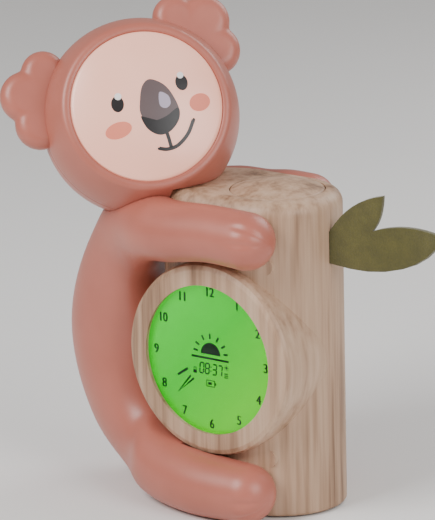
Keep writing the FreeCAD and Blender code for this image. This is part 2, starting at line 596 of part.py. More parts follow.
def make_main_board():
    back = "main_board_y + board_thickness"
    board = block("main_plate", (("main_board_left", "main_board_right"), ("main_board_y", back),
                                 ("main_board_low", "main_board_high")))
    heads = crosswise(BOARD_X, BOARD_Z, "main_board_y")
    node(carve("main_board", board, *bores("main_hole", heads, "9", TO_BACK)), "main_board")
    node(screw_set("main_board_screws", heads, "8", TO_BACK), "main_board_screws")
    chips = []
    for i, (x, z, side, tall) in enumerate(((-26, 76, 9, 1.6), (-14, 84, 6, 1.2), (-24, 44, 7, 1.4))):
        chips.append(block("chip_%d" % i, (
            ("%d" % x, "%d" % (x + side)), (back, back + " + %.1f" % tall),
            ("%d" % z, "%d" % (z + side)))))
    node(join("main_board_chips", *chips), "main_board_chips")


def make_cell():
    low, high = "cell_low", "cell_low + cell_length"
    node(turned("battery_cell", [
        ("0", low), ("cell_radius", low), ("cell_radius", high + " - 0.8"), ("2.8", high + " - 0.8"),
        ("2.8", high), ("0", high)], ("cell_x", "cell_y", "0")), "battery_cell")
    outer = rod("holder_outer", "cell_radius + holder_wall", "cell_length + 2 * holder_wall",
                ("cell_x", "cell_y", low + " - holder_wall"))
    inner = rod("holder_inner", "cell_radius + close_fit", "cell_length",
                ("cell_x", "cell_y", low))
    mouth = block("holder_mouth", (("cell_x - 7", "cell_x + 7"), ("-30", "cell_y"), (low, high)))
    rib = block("holder_rib", (("cell_x - 1.5", "cell_x + 1.5"), ("cell_y + cell_radius + 0.4", "18.9"),
                               (low, high)))
    node(carve("battery_holder", join("holder_solid", outer, rib), inner, mouth), "battery_holder")


def limb_sections(side):
    """Balls from the paw, round the back, to the foot: each has a middle and a radius."""
    arm, leg = value("arm_level"), value("leg_level")
    near, far = -value("limb_y"), value("back_x")
    middle = 0.5 * (arm + leg) - 0.5
    tip, pivot = value("limb_tip" if side < 0 else "limb_tip_rear"), value("pivot_x")
    stops = [(tip, near, arm, value("arm_radius")), (tip - 10, near + 0.5, arm + 0.3, 11.3),
             (-28, near + 1.5, arm - 1.5, 12), (pivot, near + 5.5, arm - 2.6, 13.4),
             (pivot - 16, near + 18, arm - 9, 17), (far + 7, -5, arm - 22, 20.6),
             (far, 0, middle, value("back_radius")), (far + 5.5, -3.5, leg + 25, 22),
             (pivot - 13, near + 20, leg + 9.5, 17.5), (pivot, near + 7.5, leg + 3, 14.4),
             (-18, near, leg + 0.2, 12.7), (tip - 1.5, near - 1, leg, value("leg_radius"))]
    return stops


def with_tips(stops):
    """The stops with two smaller rings past each end, which round the paws."""
    made = list(stops)
    for (x, y, z, radius), place in ((stops[0], 0), (stops[-1], len(stops) + 2)):
        tips = [(x + radius * 0.55, y, z, radius * 0.84), (x + radius * 0.88, y, z, radius * 0.46)]
        for tip in tips:
            made.insert(0 if place == 0 else len(made), tip)
    return made


def limb_volume(side, grow):
    """One arm, the back and one leg as a swelling tube of flat facets round the stops."""
    pivot = Vector(value("pivot_x"), 0, value("(arm_level + leg_level) / 2"))
    rings = []
    for x, y, z, radius in with_tips(limb_sections(side)):
        away = Vector(min(x - pivot.x, 0), 0, z - pivot.z)
        away.normalize()
        middle = Vector(x, -side * y, z)
        ring = []
        for i in range(FACETS):
            angle = 2 * math.pi * (i + 0.23) / FACETS
            ring.append(middle + (away * math.cos(angle) + Vector(0, side * math.sin(angle), 0))
                        * (radius + grow))
        rings.append(ring)
    if grow < 0:
        for end, inward in ((0, 1), (-1, 1)):
            rings[end] = [spot + Vector(grow * inward, 0, 0) for spot in rings[end]]
    faces = []
    for one, two in zip(rings, rings[1:]):
        for i in range(FACETS):
            j = (i + 1) % FACETS
            faces.append(Part.Face(Part.makePolygon([one[i], one[j], two[j], one[i]])))
            faces.append(Part.Face(Part.makePolygon([one[i], two[j], two[i], one[i]])))
    for ring in (rings[0], rings[-1]):
        faces.append(Part.Face(Part.makePolygon(ring + ring[:1])))
    tube = Part.Solid(Part.Shell(faces))
    if tube.Volume < 0:
        tube.reverse()
    return tube


def spot_of(formulas):
    return Vector(*[value(formula) for formula in formulas])


def seam_spots():
    middle = "(arm_level + leg_level) / 2"
    return [("seam_post_x", "0", middle + rise) for rise in (" - seam_post_spread", " + seam_post_spread")]


def body_half(label, side):
    """One half of the koala's hollow body, open towards the trunk that it is screwed to."""
    whole = limb_volume(side, 0)
    skin = whole.cut(limb_volume(side, -value("body_wall")))
    out = Vector(0, side, 0)
    wide, bore = value("post_radius") + 0.6, value("screw_radius") + value("close_fit")
    limbs = [spot_of(spot) for spot in limb_spots(side, INNER)]
    seams = [spot_of(spot) for spot in seam_spots()]
    posts = [Part.makeCylinder(wide, 3 + value("limb_post_depth"), at, out) for at in limbs]
    posts += [Part.makeCylinder(wide, 30, at, out) for at in seams]
    shape = skin.fuse([post.common(whole) for post in posts])
    gap, split = value("fit_gap"), value("seam_gap") / 2
    cuts = [Part.makeBox(400, 200, 400, Vector(-200, split - 200 if side > 0 else -split, -100))]
    cuts += [Part.makeCylinder(bore, 11, at, out) for at in limbs]
    for at in seams:
        cuts.append(Part.makeCylinder(bore, 9.2, at, out))
        if side > 0:
            cuts.append(Part.makeCylinder(value("screw_head") + 0.2, 40, at + out * 9, out))
    reach, radius = value("trunk_reach"), value("trunk_radius") + gap
    tall = value("trunk_height") + gap + 50
    cuts += [Part.makeCylinder(radius, tall, Vector(-reach, 0, -50)),
             Part.makeCylinder(radius, tall, Vector(0, 0, -50)),
             Part.makeBox(reach, 2 * radius, tall, Vector(-reach, -radius, -50)),
             Part.makeSphere(value("head_radius") + gap, spot_of(HEAD_AT), Vector(1, 0.3, 1)),
             Part.makeBox(400, 400, 100, Vector(-200, -200, gap - 100))]
    if side < 0:
        cuts.append(Part.makeCylinder(value("drum_radius") + gap, value("drum_front") + gap,
                                      spot_of(("drum_x", "0", "drum_z")), out))
    shape = shape.cut(cuts)
    thing = doc.addObject("Part::Feature", label)
    thing.Shape = sorted(shape.Solids, key=lambda solid: solid.Volume)[-1]
    return node(thing, label)


def make_body():
    body_half("koala_body_front", -1)
    body_half("koala_body_rear", 1)
    spots = [(x, "9", z) for x, y, z in seam_spots()]
    node(screw_set("body_seam_screws", spots, "17", TO_FRONT), "body_seam_screws")


def head_turn():
    """The head's own axes: X to its right as seen from the front, Y up, Z out of the face."""
    turn, lift, roll = (math.radians(value(key)) for key in ("face_turn", "face_lift", "face_roll"))
    out = Vector(math.sin(turn) * math.cos(lift), -math.cos(turn) * math.cos(lift), math.sin(lift))
    side = Vector(math.cos(turn), math.sin(turn), 0)
    up = out.cross(side)
    right = side * math.cos(roll) + up * math.sin(roll)
    return Rotation(right, out.cross(right), out, "ZXY")


HEAD_TURN = head_turn()
LIP = "(face_plane - head_wall)"


def in_head(thing):
    """Moves a thing from the head's own frame to its place."""
    return seat(thing, HEAD_AT, HEAD_TURN)


def head_slab(name, low, high):
    return block(name, (("-60", "60"), ("-60", "60"), (low, high)))


def make_head_shell(label, side):
    low, high = ("head_seam + seam_gap / 2", "face_plane") if side > 0 else ("-60", "head_seam - seam_gap / 2")
    skin = overlap(label + "_ball", ball(label + "_outer", "head_radius"),
                   head_slab(label + "_span", low, high))
    hollow = overlap(label + "_hollow", ball(label + "_inner", "head_radius - head_wall"),
                     head_slab(label + "_inside", "-60", LIP))
    floor_low = "trunk_height + fit_gap"
    floor = block(label + "_floor", (("-trunk_reach - trunk_radius - 3", "60"),
                                     ("-trunk_radius - 0.6", "trunk_radius + 0.6"),
                                     (floor_low, floor_low + " + head_floor")))
    cavity = carve(label + "_cavity", in_head(hollow), floor)
    posts = []
    spots = ring_spots("head_post_ring", "head_seam", 4, 45)
    for i, (x, y, z) in enumerate(spots):
        start = z if side > 0 else "head_seam - head_post_depth"
        posts.append(rod("%s_post_%d" % (label, i), "post_radius", "head_post_depth", (x, y, start)))
    if side > 0:
        for i, (x, y, z) in enumerate(ring_spots("reflector_post_ring", "reflector_flange", 3, 65)):
            posts.append(rod("%s_lens_post_%d" % (label, i), "post_radius * 0.7",
                             "face_plane - head_wall / 2 - reflector_flange", (x, y, z)))
    inside = ball(label + "_bound", "head_radius - 0.5")
    posts = overlap(label + "_posts", join(label + "_all_posts", *posts), inside)
    posts = overlap(label + "_own_posts", posts, head_slab(label + "_posts_span", low, high))
    cuts = [rod(label + "_face", "face_radius + 0.2", "30", (0, 0, "face_plane - 10"))] if side > 0 else []
    cuts += bores(label + "_bore", [(x, y, z + " - head_post_depth - 1") for x, y, z in spots],
                  "head_post_depth + 9")
    if side < 0:
        cuts += bores(label + "_sink", [(x, y, "-60") for x, y, z in spots],
                      "60 + head_seam - head_post_depth", None, "screw_head + 0.2")
    else:
        cuts += bores(label + "_lens_bore", ring_spots("reflector_post_ring", "reflector_flange", 3, 65), "5")
    for i, (x, y) in enumerate((("1", "30"), ("-1", "30"))):
        cuts.append(ear_slot("%s_slot_%d" % (label, i), int(x), "fit_gap / 3"))
    trunk = round_ended(label + "_trunk", "trunk_radius + fit_gap", "trunk_reach", "-20",
                        "trunk_height + fit_gap")
    neck = rod(label + "_neck", "neck_radius + close_fit", "30", ("neck_x", "neck_y", "trunk_height - 5"))
    shell = carve(label + "_shell", in_head(skin), cavity)
    full = join(label + "_full", shell, in_head(posts))
    return node(carve(label, full, in_head(join(label + "_cuts", *cuts)), trunk, neck), label)


def ear_slot(name, side, grow):
    """The slot, or with no growth the tab, that holds an ear between the head's shells."""
    slot = doc.addObject("Part::Box", name)
    bind(slot, "Length", "12")
    bind(slot, "Width", "ear_tab_width + 2 * %s" % grow)
    bind(slot, "Height", "ear_tab + 2 * %s" % grow)
    angle = math.radians(33 if side > 0 else 147)
    start = "head_radius - head_wall - ear_tab_depth + 1.5 - %s" % grow
    half_width = "(ear_tab_width / 2 + %s)" % grow
    at = ("(%s) * %.6f + %s * %.6f" % (start, math.cos(angle), half_width, math.sin(angle)),
          "(%s) * %.6f - %s * %.6f" % (start, math.sin(angle), half_width, math.cos(angle)),
          "head_seam - ear_tab / 2 - %s" % grow)
    return seat(slot, at, Rotation(Vector(0, 0, 1), math.degrees(angle)))


def puff(name, x, y, radius):
    """A flat lobe with softened edges."""
    half, corners = "ear_thickness / 2", []
    for inset, drop in (("0.42", "0"), ("0.2", "0.14"), ("0.06", "0.36"), ("0", "0.72")):
        corners.append(("%s * (1 - %s)" % (radius, inset), "%s * (1 - %s)" % (half, drop)))
    below = [(across, "-(%s)" % level) for across, level in corners]
    outline = [("0", "-(%s)" % half)] + below + corners[::-1] + [("0", half)]
    return turned(name, outline, (x, y, "head_seam"))


def make_ear(label, side):
    lobes = []
    for i, (x, y, radius) in enumerate(((27.6, 31, 8), (38.7, 24.2, 9.8), (38, 11.8, 9.4))):
        lobes.append(puff("%s_lobe_%d" % (label, i), str(side * x), str(y), str(radius)))
    core = rod(label + "_core", "9", "ear_thickness", (str(side * 30), "20", "head_seam - ear_thickness / 2"))
    ear = carve(label + "_outside", join(label + "_lobes", core, *lobes),
                ball(label + "_head", "head_radius + 0.15"))
    return node(in_head(join(label, ear, ear_slot(label + "_tab", side, "0"))), label)


def make_night_light():
    plane, rim = "face_plane", "face_plane - lens_rim"
    bulge = "((face_radius ^ 2 + face_dome ^ 2) / (2 * face_dome))"
    dome = overlap("lens_dome", ball("lens_outer", bulge, (0, 0, "face_plane + face_dome - " + bulge)),
                   rod("lens_keep", "face_radius", "face_dome + lens_rim + 1", (0, 0, rim)))
    flange = rod("lens_flange_disc", "lens_flange", "1", (0, 0, rim))
    inner = overlap("lens_inside",
                    ball("lens_inner", bulge + " - lens_thickness", (0, 0, "face_plane + face_dome - " + bulge)),
                    rod("lens_bore", "face_radius - lens_thickness", "40", (0, 0, rim + " - 1")))
    node(in_head(carve("face_lens", join("lens_solid", dome, flange), inner)), "face_lens")
    deep, top = "(lamp_board_depth + board_thickness)", "(%s)" % rim
    low, thin = "lamp_board_radius + 1", "reflector_wall"
    cup = turned("reflector_cup", [
        ("lamp_board_radius - 5", deep), (low, deep), ("reflector_post_ring - 3", "reflector_flange - 1.2"),
        ("head_radius - head_wall - 2.6", "reflector_flange - 1.2"),
        ("head_radius - head_wall - 2.6", "reflector_flange"), ("reflector_post_ring - 3", "reflector_flange"),
        ("face_radius + 1", top), ("face_radius - 0.6", top), (low + " - " + thin, deep + " + " + thin),
        ("lamp_board_radius - 5", deep + " + " + thin)])
    screws = ring_spots("reflector_post_ring", "reflector_flange - 1.2", 3, 65)
    board_screws = ring_spots("lamp_board_radius - 2.5", "lamp_board_depth", 3, 30)
    holes = bores("reflector_hole", [(x, y, z + " - 2") for x, y, z in screws], "6")
    holes += bores("reflector_low", board_screws, "6")
    cup = in_head(carve("reflector_with_holes", cup, *holes))
    step = block("reflector_step", (("-60", "60"), ("-60", "60"), ("0", "trunk_height + 6")))
    node(carve("face_reflector", cup, step), "face_reflector")
    node(in_head(screw_set("reflector_screws", screws, "5")), "reflector_screws")
    board = rod("lamp_disc", "lamp_board_radius", "board_thickness", (0, 0, "lamp_board_depth"))
    node(in_head(carve("night_light_board", board,
                       *bores("lamp_hole", [(x, y, z + " - 2") for x, y, z in board_screws], "6"))),
         "night_light_board")
    node(in_head(screw_set("night_board_screws", board_screws, "board_thickness + 1")),
         "night_board_screws")
    leds = []
    for i, (x, y, z) in enumerate(ring_spots("face_led_ring", deep, 6, 0) + [("0", "0", deep)]):
        leds.append(block("night_led_%d" % i, ((x + " - led_side / 2", x + " + led_side / 2"),
                                               (y + " - led_side / 2", y + " + led_side / 2"),
                                               (z, z + " + led_height"))))
    node(in_head(join("night_light_leds", *leds)), "night_light_leds")


def make_neck():
    floor = "trunk_height + fit_gap + head_floor"
    low = ROOF + " - nut_height - 1"
    outline = [("neck_bore", low), ("neck_radius", low), ("neck_radius", floor + " + nut_height + 0.3"),
               ("neck_bore", floor + " + nut_height + 0.3")]
    node(turned("neck_tube", outline, ("neck_x", "neck_y", "0")), "neck_tube")
    for label, level in (("neck_nut_lower", ROOF + " - nut_height"), ("neck_nut_upper", floor)):
        node(turned(label, [
            ("neck_radius + close_fit", level), ("neck_nut", level), ("neck_nut", level + " + nut_height"),
            ("neck_radius + close_fit", level + " + nut_height")], ("neck_x", "neck_y", "0")), label)


def make_head():
    make_head_shell("head_front_shell", 1)
    make_head_shell("head_rear_shell", -1)
    spots = ring_spots("head_post_ring", "head_seam - head_post_depth", 4, 45)
    node(in_head(screw_set("head_screws", spots, "head_post_depth + 7")), "head_screws")
    make_ear("ear_right", 1)
    make_ear("ear_left", -1)
    make_night_light()
    make_neck()


def make_leaf():
    """Two joined lobes cut from thick felt, with a tail trapped behind the slot."""
    root, low, high = value("trunk_radius"), value("leaf_low"), value("leaf_high")
    arcs = (((root, high), (36, 123), (50.3, 128.9)), ((50.3, 128.9), (48.4, 120.5), (44.8, 114.4)),
            ((44.8, 114.4), (59.5, 117.5), (76.9, 116.2)), ((76.9, 116.2), (58, 101.2), (root, low)))
    edges = [Part.Arc(*(Vector(x, 0, z) for x, z in arc)).toShape() for arc in arcs]
    inner = value(INNER) - value("leaf_tab") - value("leaf_play")
    behind = value(INNER) - value("leaf_play") - 0.4
    corners = ((root, low), (behind, low), (behind, low - 1.5), (inner, low - 1.5),
               (inner, high + 1.5), (behind, high + 1.5), (behind, high), (root, high))
    spots = [Vector(x, 0, z) for x, z in corners]
    edges += [Part.LineSegment(a, b).toShape() for a, b in zip(spots, spots[1:])]
    thick = value("leaf_thickness")
    face = Part.Face(Part.Wire(Part.__sortEdges__(edges)))
    thing = doc.addObject("Part::Feature", "leaf")
    thing.Shape = face.extrude(Vector(0, thick, 0))
    thing.Placement = Placement(Vector(0, -thick / 2, 0), Rotation())
    node(thing, "leaf")


make_front_shell()
make_rear_shell()
make_base()
make_shell_screws()
make_display()
make_button()
make_rear_controls()
make_speaker()
make_port()
make_main_board()
make_cell()
make_body()
make_head()
make_leaf()
doc.recompute()

failed = [thing.Name for thing in doc.Objects if "Invalid" in thing.State or "Error" in thing.State]
if failed:
    raise RuntimeError("not built: " + ", ".join(failed))
os.makedirs("parts", exist_ok=True)
for thing in nodes:
    shape = thing.Shape
    if shape.isNull() or not shape.isValid() or not shape.Solids:
        raise RuntimeError("not a valid solid: " + thing.Label)
    print("%-22s solids %2d volume %9.1f z %6.1f to %6.1f" % (
        thing.Label, len(shape.Solids), shape.Volume, shape.BoundBox.ZMin, shape.BoundBox.ZMax))
for thing in nodes:
    thing.Shape.exportStep("parts/%s.step" % thing.Label)
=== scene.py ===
import json
import math

import bmesh
import bpy
from mathutils import Matrix, Vector


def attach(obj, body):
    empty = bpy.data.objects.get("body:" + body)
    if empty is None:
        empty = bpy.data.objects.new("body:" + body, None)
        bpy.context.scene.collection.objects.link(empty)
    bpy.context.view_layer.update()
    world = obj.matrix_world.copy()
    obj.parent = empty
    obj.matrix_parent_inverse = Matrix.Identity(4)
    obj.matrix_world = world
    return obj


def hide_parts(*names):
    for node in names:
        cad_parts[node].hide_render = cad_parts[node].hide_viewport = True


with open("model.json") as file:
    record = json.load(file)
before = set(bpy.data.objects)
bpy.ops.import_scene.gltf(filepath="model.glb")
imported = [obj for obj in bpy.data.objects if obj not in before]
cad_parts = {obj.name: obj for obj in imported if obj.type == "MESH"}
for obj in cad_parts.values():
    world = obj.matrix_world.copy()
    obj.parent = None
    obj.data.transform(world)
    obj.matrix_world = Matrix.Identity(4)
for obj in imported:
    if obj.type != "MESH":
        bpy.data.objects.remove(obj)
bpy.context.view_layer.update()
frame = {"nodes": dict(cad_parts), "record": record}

MM = 0.001
TRUNK_RADIUS, TRUNK_REACH, TRUNK_HEIGHT = 25.0, 24.0, 125.0
DIAL_X, DIAL_Z, DIAL_Y = -13.0, 61.5, -27.34
DRUM_RADIUS, DRUM_FRONT, OPENING_RADIUS = 38.0, 30.0, 29.5
HEAD = Vector((-59.8, -8.0, 147.1))
HEAD_RADIUS, FACE_PLANE, FACE_RADIUS, FACE_DOME = 38.5, 20.8, 29.3, 5.0
HEAD_SEAM = 2.0
FACE_TURN, FACE_LIFT, FACE_ROLL = 46.0, 25.0, 20.0
CUT_GAP = 0.1                     # room left between the koala's skins and what they lie on

# The photograph's view: its turn, rise and roll in degrees, and its scale
VIEW_TURN, VIEW_RISE, VIEW_ROLL = 37.5, 15.0, 1.2
PHOTO_WIDTH, PHOTO_HEIGHT = 435.0, 520.0
PIXELS_PER_MM = 2.564
ORIGIN_PIXEL = (283, 499)         # where the middle of the trunk's foot lies in the photograph
CAMERA_AWAY = 2000.0
SENSOR_HEIGHT = 24.0


def head_axes():
    """The head's right, up and outward directions."""
    turn, lift, roll = (math.radians(a) for a in (FACE_TURN, FACE_LIFT, FACE_ROLL))
    out = Vector((math.sin(turn) * math.cos(lift), -math.cos(turn) * math.cos(lift), math.sin(lift)))
    side = Vector((math.cos(turn), math.sin(turn), 0))
    right = side * math.cos(roll) + out.cross(side) * math.sin(roll)
    return right, out.cross(right), out


RIGHT, UP, OUT = head_axes()
TO_HEAD = Matrix.Translation(HEAD) @ Matrix((RIGHT, UP, OUT)).transposed().to_4x4()


# Camera and light

def place_camera():
    """A long lens at the photograph's angle."""
    azimuth, elevation, roll = (math.radians(a) for a in (VIEW_TURN, VIEW_RISE, VIEW_ROLL))
    back = Vector((math.sin(azimuth) * math.cos(elevation),
                   -math.cos(azimuth) * math.cos(elevation), math.sin(elevation)))
    side = Vector((math.cos(azimuth), math.sin(azimuth), 0))
    up = back.cross(side)
    c, s = math.cos(roll), math.sin(roll)
    dx = (PHOTO_WIDTH / 2 - ORIGIN_PIXEL[0]) / PIXELS_PER_MM
    dy = (ORIGIN_PIXEL[1] - PHOTO_HEIGHT / 2) / PIXELS_PER_MM
    middle = side * (dx * c + dy * s) + up * (dy * c - dx * s)
    turned_side, turned_up = side * c - up * s, up * c + side * s
    data = bpy.data.cameras.new("view_camera")
    data.sensor_fit = "VERTICAL"
    data.sensor_height = SENSOR_HEIGHT
    data.lens = SENSOR_HEIGHT * CAMERA_AWAY * PIXELS_PER_MM / PHOTO_HEIGHT
    camera = bpy.data.objects.new("view_camera", data)
    bpy.context.scene.collection.objects.link(camera)
    turn = Matrix((turned_side, turned_up, back)).transposed().to_4x4()
    camera.matrix_world = Matrix.Translation((middle + back * CAMERA_AWAY) * MM) @ turn
    bpy.context.scene.camera = camera


def place_lights():
    world = bpy.data.worlds.new("studio")
    bpy.context.scene.world = world
    world.use_nodes = True
    world.node_tree.nodes["Background"].inputs["Color"].default_value = (1, 0.98, 0.96, 1)
    world.node_tree.nodes["Background"].inputs["Strength"].default_value = 0.38
    for name, spot, size, power in (("key_light", (-0.25, -0.75, 0.75), 0.5, 9.0),
                                    ("side_light", (0.8, -0.2, 0.5), 0.5, 4.5),
                                    ("back_light", (0.1, 0.7, 0.6), 0.5, 3.0)):
        data = bpy.data.lights.new(name, "AREA")
        data.size, data.energy = size, power
        lamp = bpy.data.objects.new(name, data)
        bpy.context.scene.collection.objects.link(lamp)
        aim = Vector((-0.02, 0, 0.09)) - Vector(spot)
        lamp.matrix_world = Matrix.Translation(spot) @ aim.to_track_quat("-Z", "Y").to_matrix().to_4x4()


place_camera()
place_lights()


# Shader maths

class Val:
    """A shader socket that takes part in Python sums."""

    def __init__(self, kit, socket):
        self.kit, self.socket = kit, socket

    def _sum(self, kind, one, two):
        return self.kit.node("ShaderNodeMath", {"operation": kind}, {0: one, 1: two})

    def __add__(self, other): return self._sum("ADD", self, other)
    def __radd__(self, other): return self._sum("ADD", other, self)
    def __sub__(self, other): return self._sum("SUBTRACT", self, other)
    def __rsub__(self, other): return self._sum("SUBTRACT", other, self)
    def __mul__(self, other): return self._sum("MULTIPLY", self, other)
    def __rmul__(self, other): return self._sum("MULTIPLY", other, self)
    def __pow__(self, other): return self._sum("POWER", self, other)


class Finish:
    """A material made in code: node() adds any node and returns its first output."""

    def __init__(self, name, **fixed):
        self.material = bpy.data.materials.new(name)
        self.material.use_nodes = True
        self.tree = self.material.node_tree
        self.shader = self.tree.nodes["Principled BSDF"]
        for socket, number in fixed.items():
            self.shader.inputs[socket.replace("_", " ")].default_value = number

    def node(self, kind, settings=(), values=(), out=0):
        made = self.tree.nodes.new(kind)
        for key, setting in dict(settings).items():
            if key == "stops":
                ramp = made.color_ramp
                while len(ramp.elements) < len(setting):
                    ramp.elements.new(0.5)
                for element, (place, colour) in zip(ramp.elements, setting):
                    element.position, element.color = place, colour + (1,)
            else:
                setattr(made, key, setting)
        for key, item in dict(values).items():
            if isinstance(item, Val):
                self.tree.links.new(item.socket, made.inputs[key])
            else:
                made.inputs[key].default_value = item
        return Val(self, made.outputs[out])

    def place(self, scale=(1, 1, 1), shift=(0, 0, 0)):
        spot = self.node("ShaderNodeTexCoord", out=3)
        return self.node("ShaderNodeMapping", {}, {0: spot, 1: shift, 3: scale})

    def noise(self, where, scale, detail=3.0, rough=0.55):
        return self.node("ShaderNodeTexNoise", {}, {"Vector": where, "Scale": scale, "Detail": detail,
                                                   "Roughness": rough})

    def feed(self, socket, item):
        self.tree.links.new(item.socket, self.shader.inputs[socket])

    def bump(self, height, distance, strength=1.0):
        self.feed("Normal", self.node("ShaderNodeBump", {}, {"Strength": strength, "Distance": distance,
                                                            "Height": height}))


def mottled(name, low, high, rough, grain=900.0, depth=0.00004, patch=35.0, **fixed):
    """Moulded plastic or rubber: soft colour patches over a fine moulded grain."""
    kit = Finish(name, **fixed)
    where = kit.place()
    tone = kit.noise(where, patch)
    kit.feed("Base Color", kit.node("ShaderNodeValToRGB", {"stops": ((0.3, low), (0.7, high))}, {0: tone}))
    fine = kit.noise(where, grain, 2.0)
    kit.feed("Roughness", fine * 0.08 + rough)
    kit.bump(fine, depth, 0.5)
    return kit.material


def wood_print():
    """Wood grain printed up the trunk: broad wavy bands, fine dark streaks and pores."""
    kit = Finish("wood_print", Coat_Roughness=0.35)
    long = kit.place((1, 1, 0.07))
    warp = kit.noise(kit.place((1, 1, 0.2)), 22.0, 2.0)
    band = kit.noise(long, 95.0, 4.0, 0.6)
    streak = kit.noise(kit.place((1, 1, 0.03)), 420.0, 3.0, 0.6)
    pore = kit.noise(kit.place((1, 1, 0.05)), 1400.0, 2.0, 0.5)
    tone = band * 0.55 + streak * 0.33 + warp * 0.12
    kit.feed("Base Color", kit.node("ShaderNodeValToRGB", {"stops": (
        (0.36, (0.19, 0.10, 0.055)), (0.45, (0.36, 0.215, 0.13)), (0.52, (0.47, 0.30, 0.195)),
        (0.64, (0.56, 0.385, 0.265)))}, {0: tone}))
    kit.feed("Roughness", streak * 0.18 + 0.38)
    kit.bump(streak * 0.6 + pore * 0.4, 0.00009, 0.45)
    return kit.material


def glowing_green():
    """The backlit glass: bright green, and yellower low on the right."""
    kit = Finish("glowing_green", Roughness=0.25)
    spot = kit.node("ShaderNodeTexCoord", out=3)
    apart = kit.tree.nodes.new("ShaderNodeSeparateXYZ")
    kit.tree.links.new(spot.socket, apart.inputs[0])
    x, z = Val(kit, apart.outputs[0]), Val(kit, apart.outputs[2])
    cross = (x - DIAL_X * MM) * 12.0 - (z - DIAL_Z * MM) * 12.0 + 0.5 + kit.noise(kit.place(), 40.0) * 0.12
    colour = kit.node("ShaderNodeValToRGB", {"stops": (
        (0.05, (0.03, 0.66, 0.02)), (0.5, (0.012, 0.55, 0.005)), (0.95, (0.09, 0.62, 0.003)))}, {0: cross})
    kit.feed("Base Color", colour)
    kit.feed("Emission Color", colour)
    kit.shader.inputs["Emission Strength"].default_value = 0.85
    return kit.material


def lit_face():
    """The night light's diffuser: pale pink and glowing, with faint soft patches."""
    kit = Finish("lit_face", Roughness=0.3, Coat_Weight=0.3, Coat_Roughness=0.2)
    tone = kit.noise(kit.place(), 18.0, 2.0)
    colour = kit.node("ShaderNodeValToRGB", {"stops": (
        (0.3, (0.90, 0.42, 0.30)), (0.7, (0.95, 0.50, 0.38)))}, {0: tone})
    kit.feed("Base Color", colour)
    kit.feed("Emission Color", colour)
    kit.shader.inputs["Emission Strength"].default_value = 0.4
    return kit.material


def felt():
    kit = Finish("leaf_felt_cloth", Sheen_Weight=0.35)
    where = kit.place()
    fibre, patch = kit.noise(where, 1500.0, 4.0, 0.7), kit.noise(where, 120.0, 4.0)
    kit.feed("Base Color", kit.node("ShaderNodeValToRGB", {"stops": (
        (0.3, (0.045, 0.04, 0.004)), (0.55, (0.085, 0.075, 0.01)), (0.75, (0.14, 0.125, 0.02)))},
        {0: fibre * 0.5 + patch * 0.5}))
    kit.feed("Roughness", fibre * 0.1 + 0.82)
    kit.bump(fibre, 0.0003, 0.8)
    return kit.material


def clear_plastic():
    kit = Finish("clear_plastic", Transmission_Weight=1.0, IOR=1.03)
    kit.feed("Roughness", kit.noise(kit.place(), 300.0) * 0.04)
    return kit.material


PINK = mottled("koala_paint", (0.43, 0.125, 0.085), (0.49, 0.15, 0.105), 0.36, Coat_Weight=0.15,
               Coat_Roughness=0.3)
WOOD = wood_print()
GREEN = glowing_green()
FACE = lit_face()
FELT = felt()
CLEAR = clear_plastic()
INK = mottled("dial_ink", (0.002, 0.022, 0.006), (0.004, 0.03, 0.008), 0.6)
BLACK = mottled("face_black", (0.008, 0.007, 0.008), (0.016, 0.013, 0.014), 0.32)
NOSE = mottled("nose_brown", (0.10, 0.07, 0.075), (0.13, 0.09, 0.09), 0.35)
SHINE = mottled("nose_shine", (0.42, 0.36, 0.46), (0.47, 0.40, 0.50), 0.35)
CHEEK = mottled("cheek_coral", (0.84, 0.22, 0.14), (0.88, 0.26, 0.17), 0.45)
WHITE = mottled("eye_spark", (0.85, 0.8, 0.78), (0.9, 0.86, 0.84), 0.4)
SLOTS = {"trunk_wood": WOOD, "koala_pink": PINK, "display_green": GREEN, "face_glow": FACE,
         "leaf_felt": FELT, "clear_lens": CLEAR,
         "dark_plastic": mottled("black_plastic", (0.02, 0.018, 0.017), (0.03, 0.028, 0.026), 0.45),
         "rubber_black": mottled("foot_rubber", (0.012, 0.012, 0.012), (0.02, 0.02, 0.02), 0.75),
         "steel": mottled("zinc_steel", (0.42, 0.42, 0.43), (0.55, 0.55, 0.56), 0.3, Metallic=1.0),
         "white_plastic": mottled("white_plastic", (0.78, 0.77, 0.74), (0.84, 0.83, 0.8), 0.4),
         "board_green": mottled("solder_mask", (0.01, 0.09, 0.03), (0.015, 0.12, 0.04), 0.4),
         "cell_wrap": mottled("cell_wrap", (0.03, 0.08, 0.3), (0.04, 0.1, 0.36), 0.3)}

for part in frame["record"]["subparts"]:
    thing = frame["nodes"][part["node"]]
    thing.data.materials.clear()
    thing.data.materials.append(SLOTS[part["material_slot"]])


# Mesh helpers

def finish_piece(name, mesh_data, material, body="housing", smooth=True, replaces=()):
    """Turns a bmesh in millimetres into a piece that rides on a body."""
    bmesh.ops.remove_doubles(mesh_data, verts=mesh_data.verts, dist=0.0005)
    bmesh.ops.recalc_face_normals(mesh_data, faces=mesh_data.faces)
    bmesh.ops.scale(mesh_data, vec=(MM, MM, MM), verts=mesh_data.verts)
    for face in mesh_data.faces:
        face.smooth = smooth
    data = bpy.data.meshes.new(name)
    mesh_data.to_mesh(data)
    mesh_data.free()
    return as_piece(name, data, material, body, replaces)


def as_piece(name, data, material, body="housing", replaces=()):
    data.materials.clear()
    data.materials.append(material)
    piece = bpy.data.objects.new(name, data)
    bpy.context.scene.collection.objects.link(piece)
    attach(piece, body)
    if replaces:
        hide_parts(*replaces)
    return piece


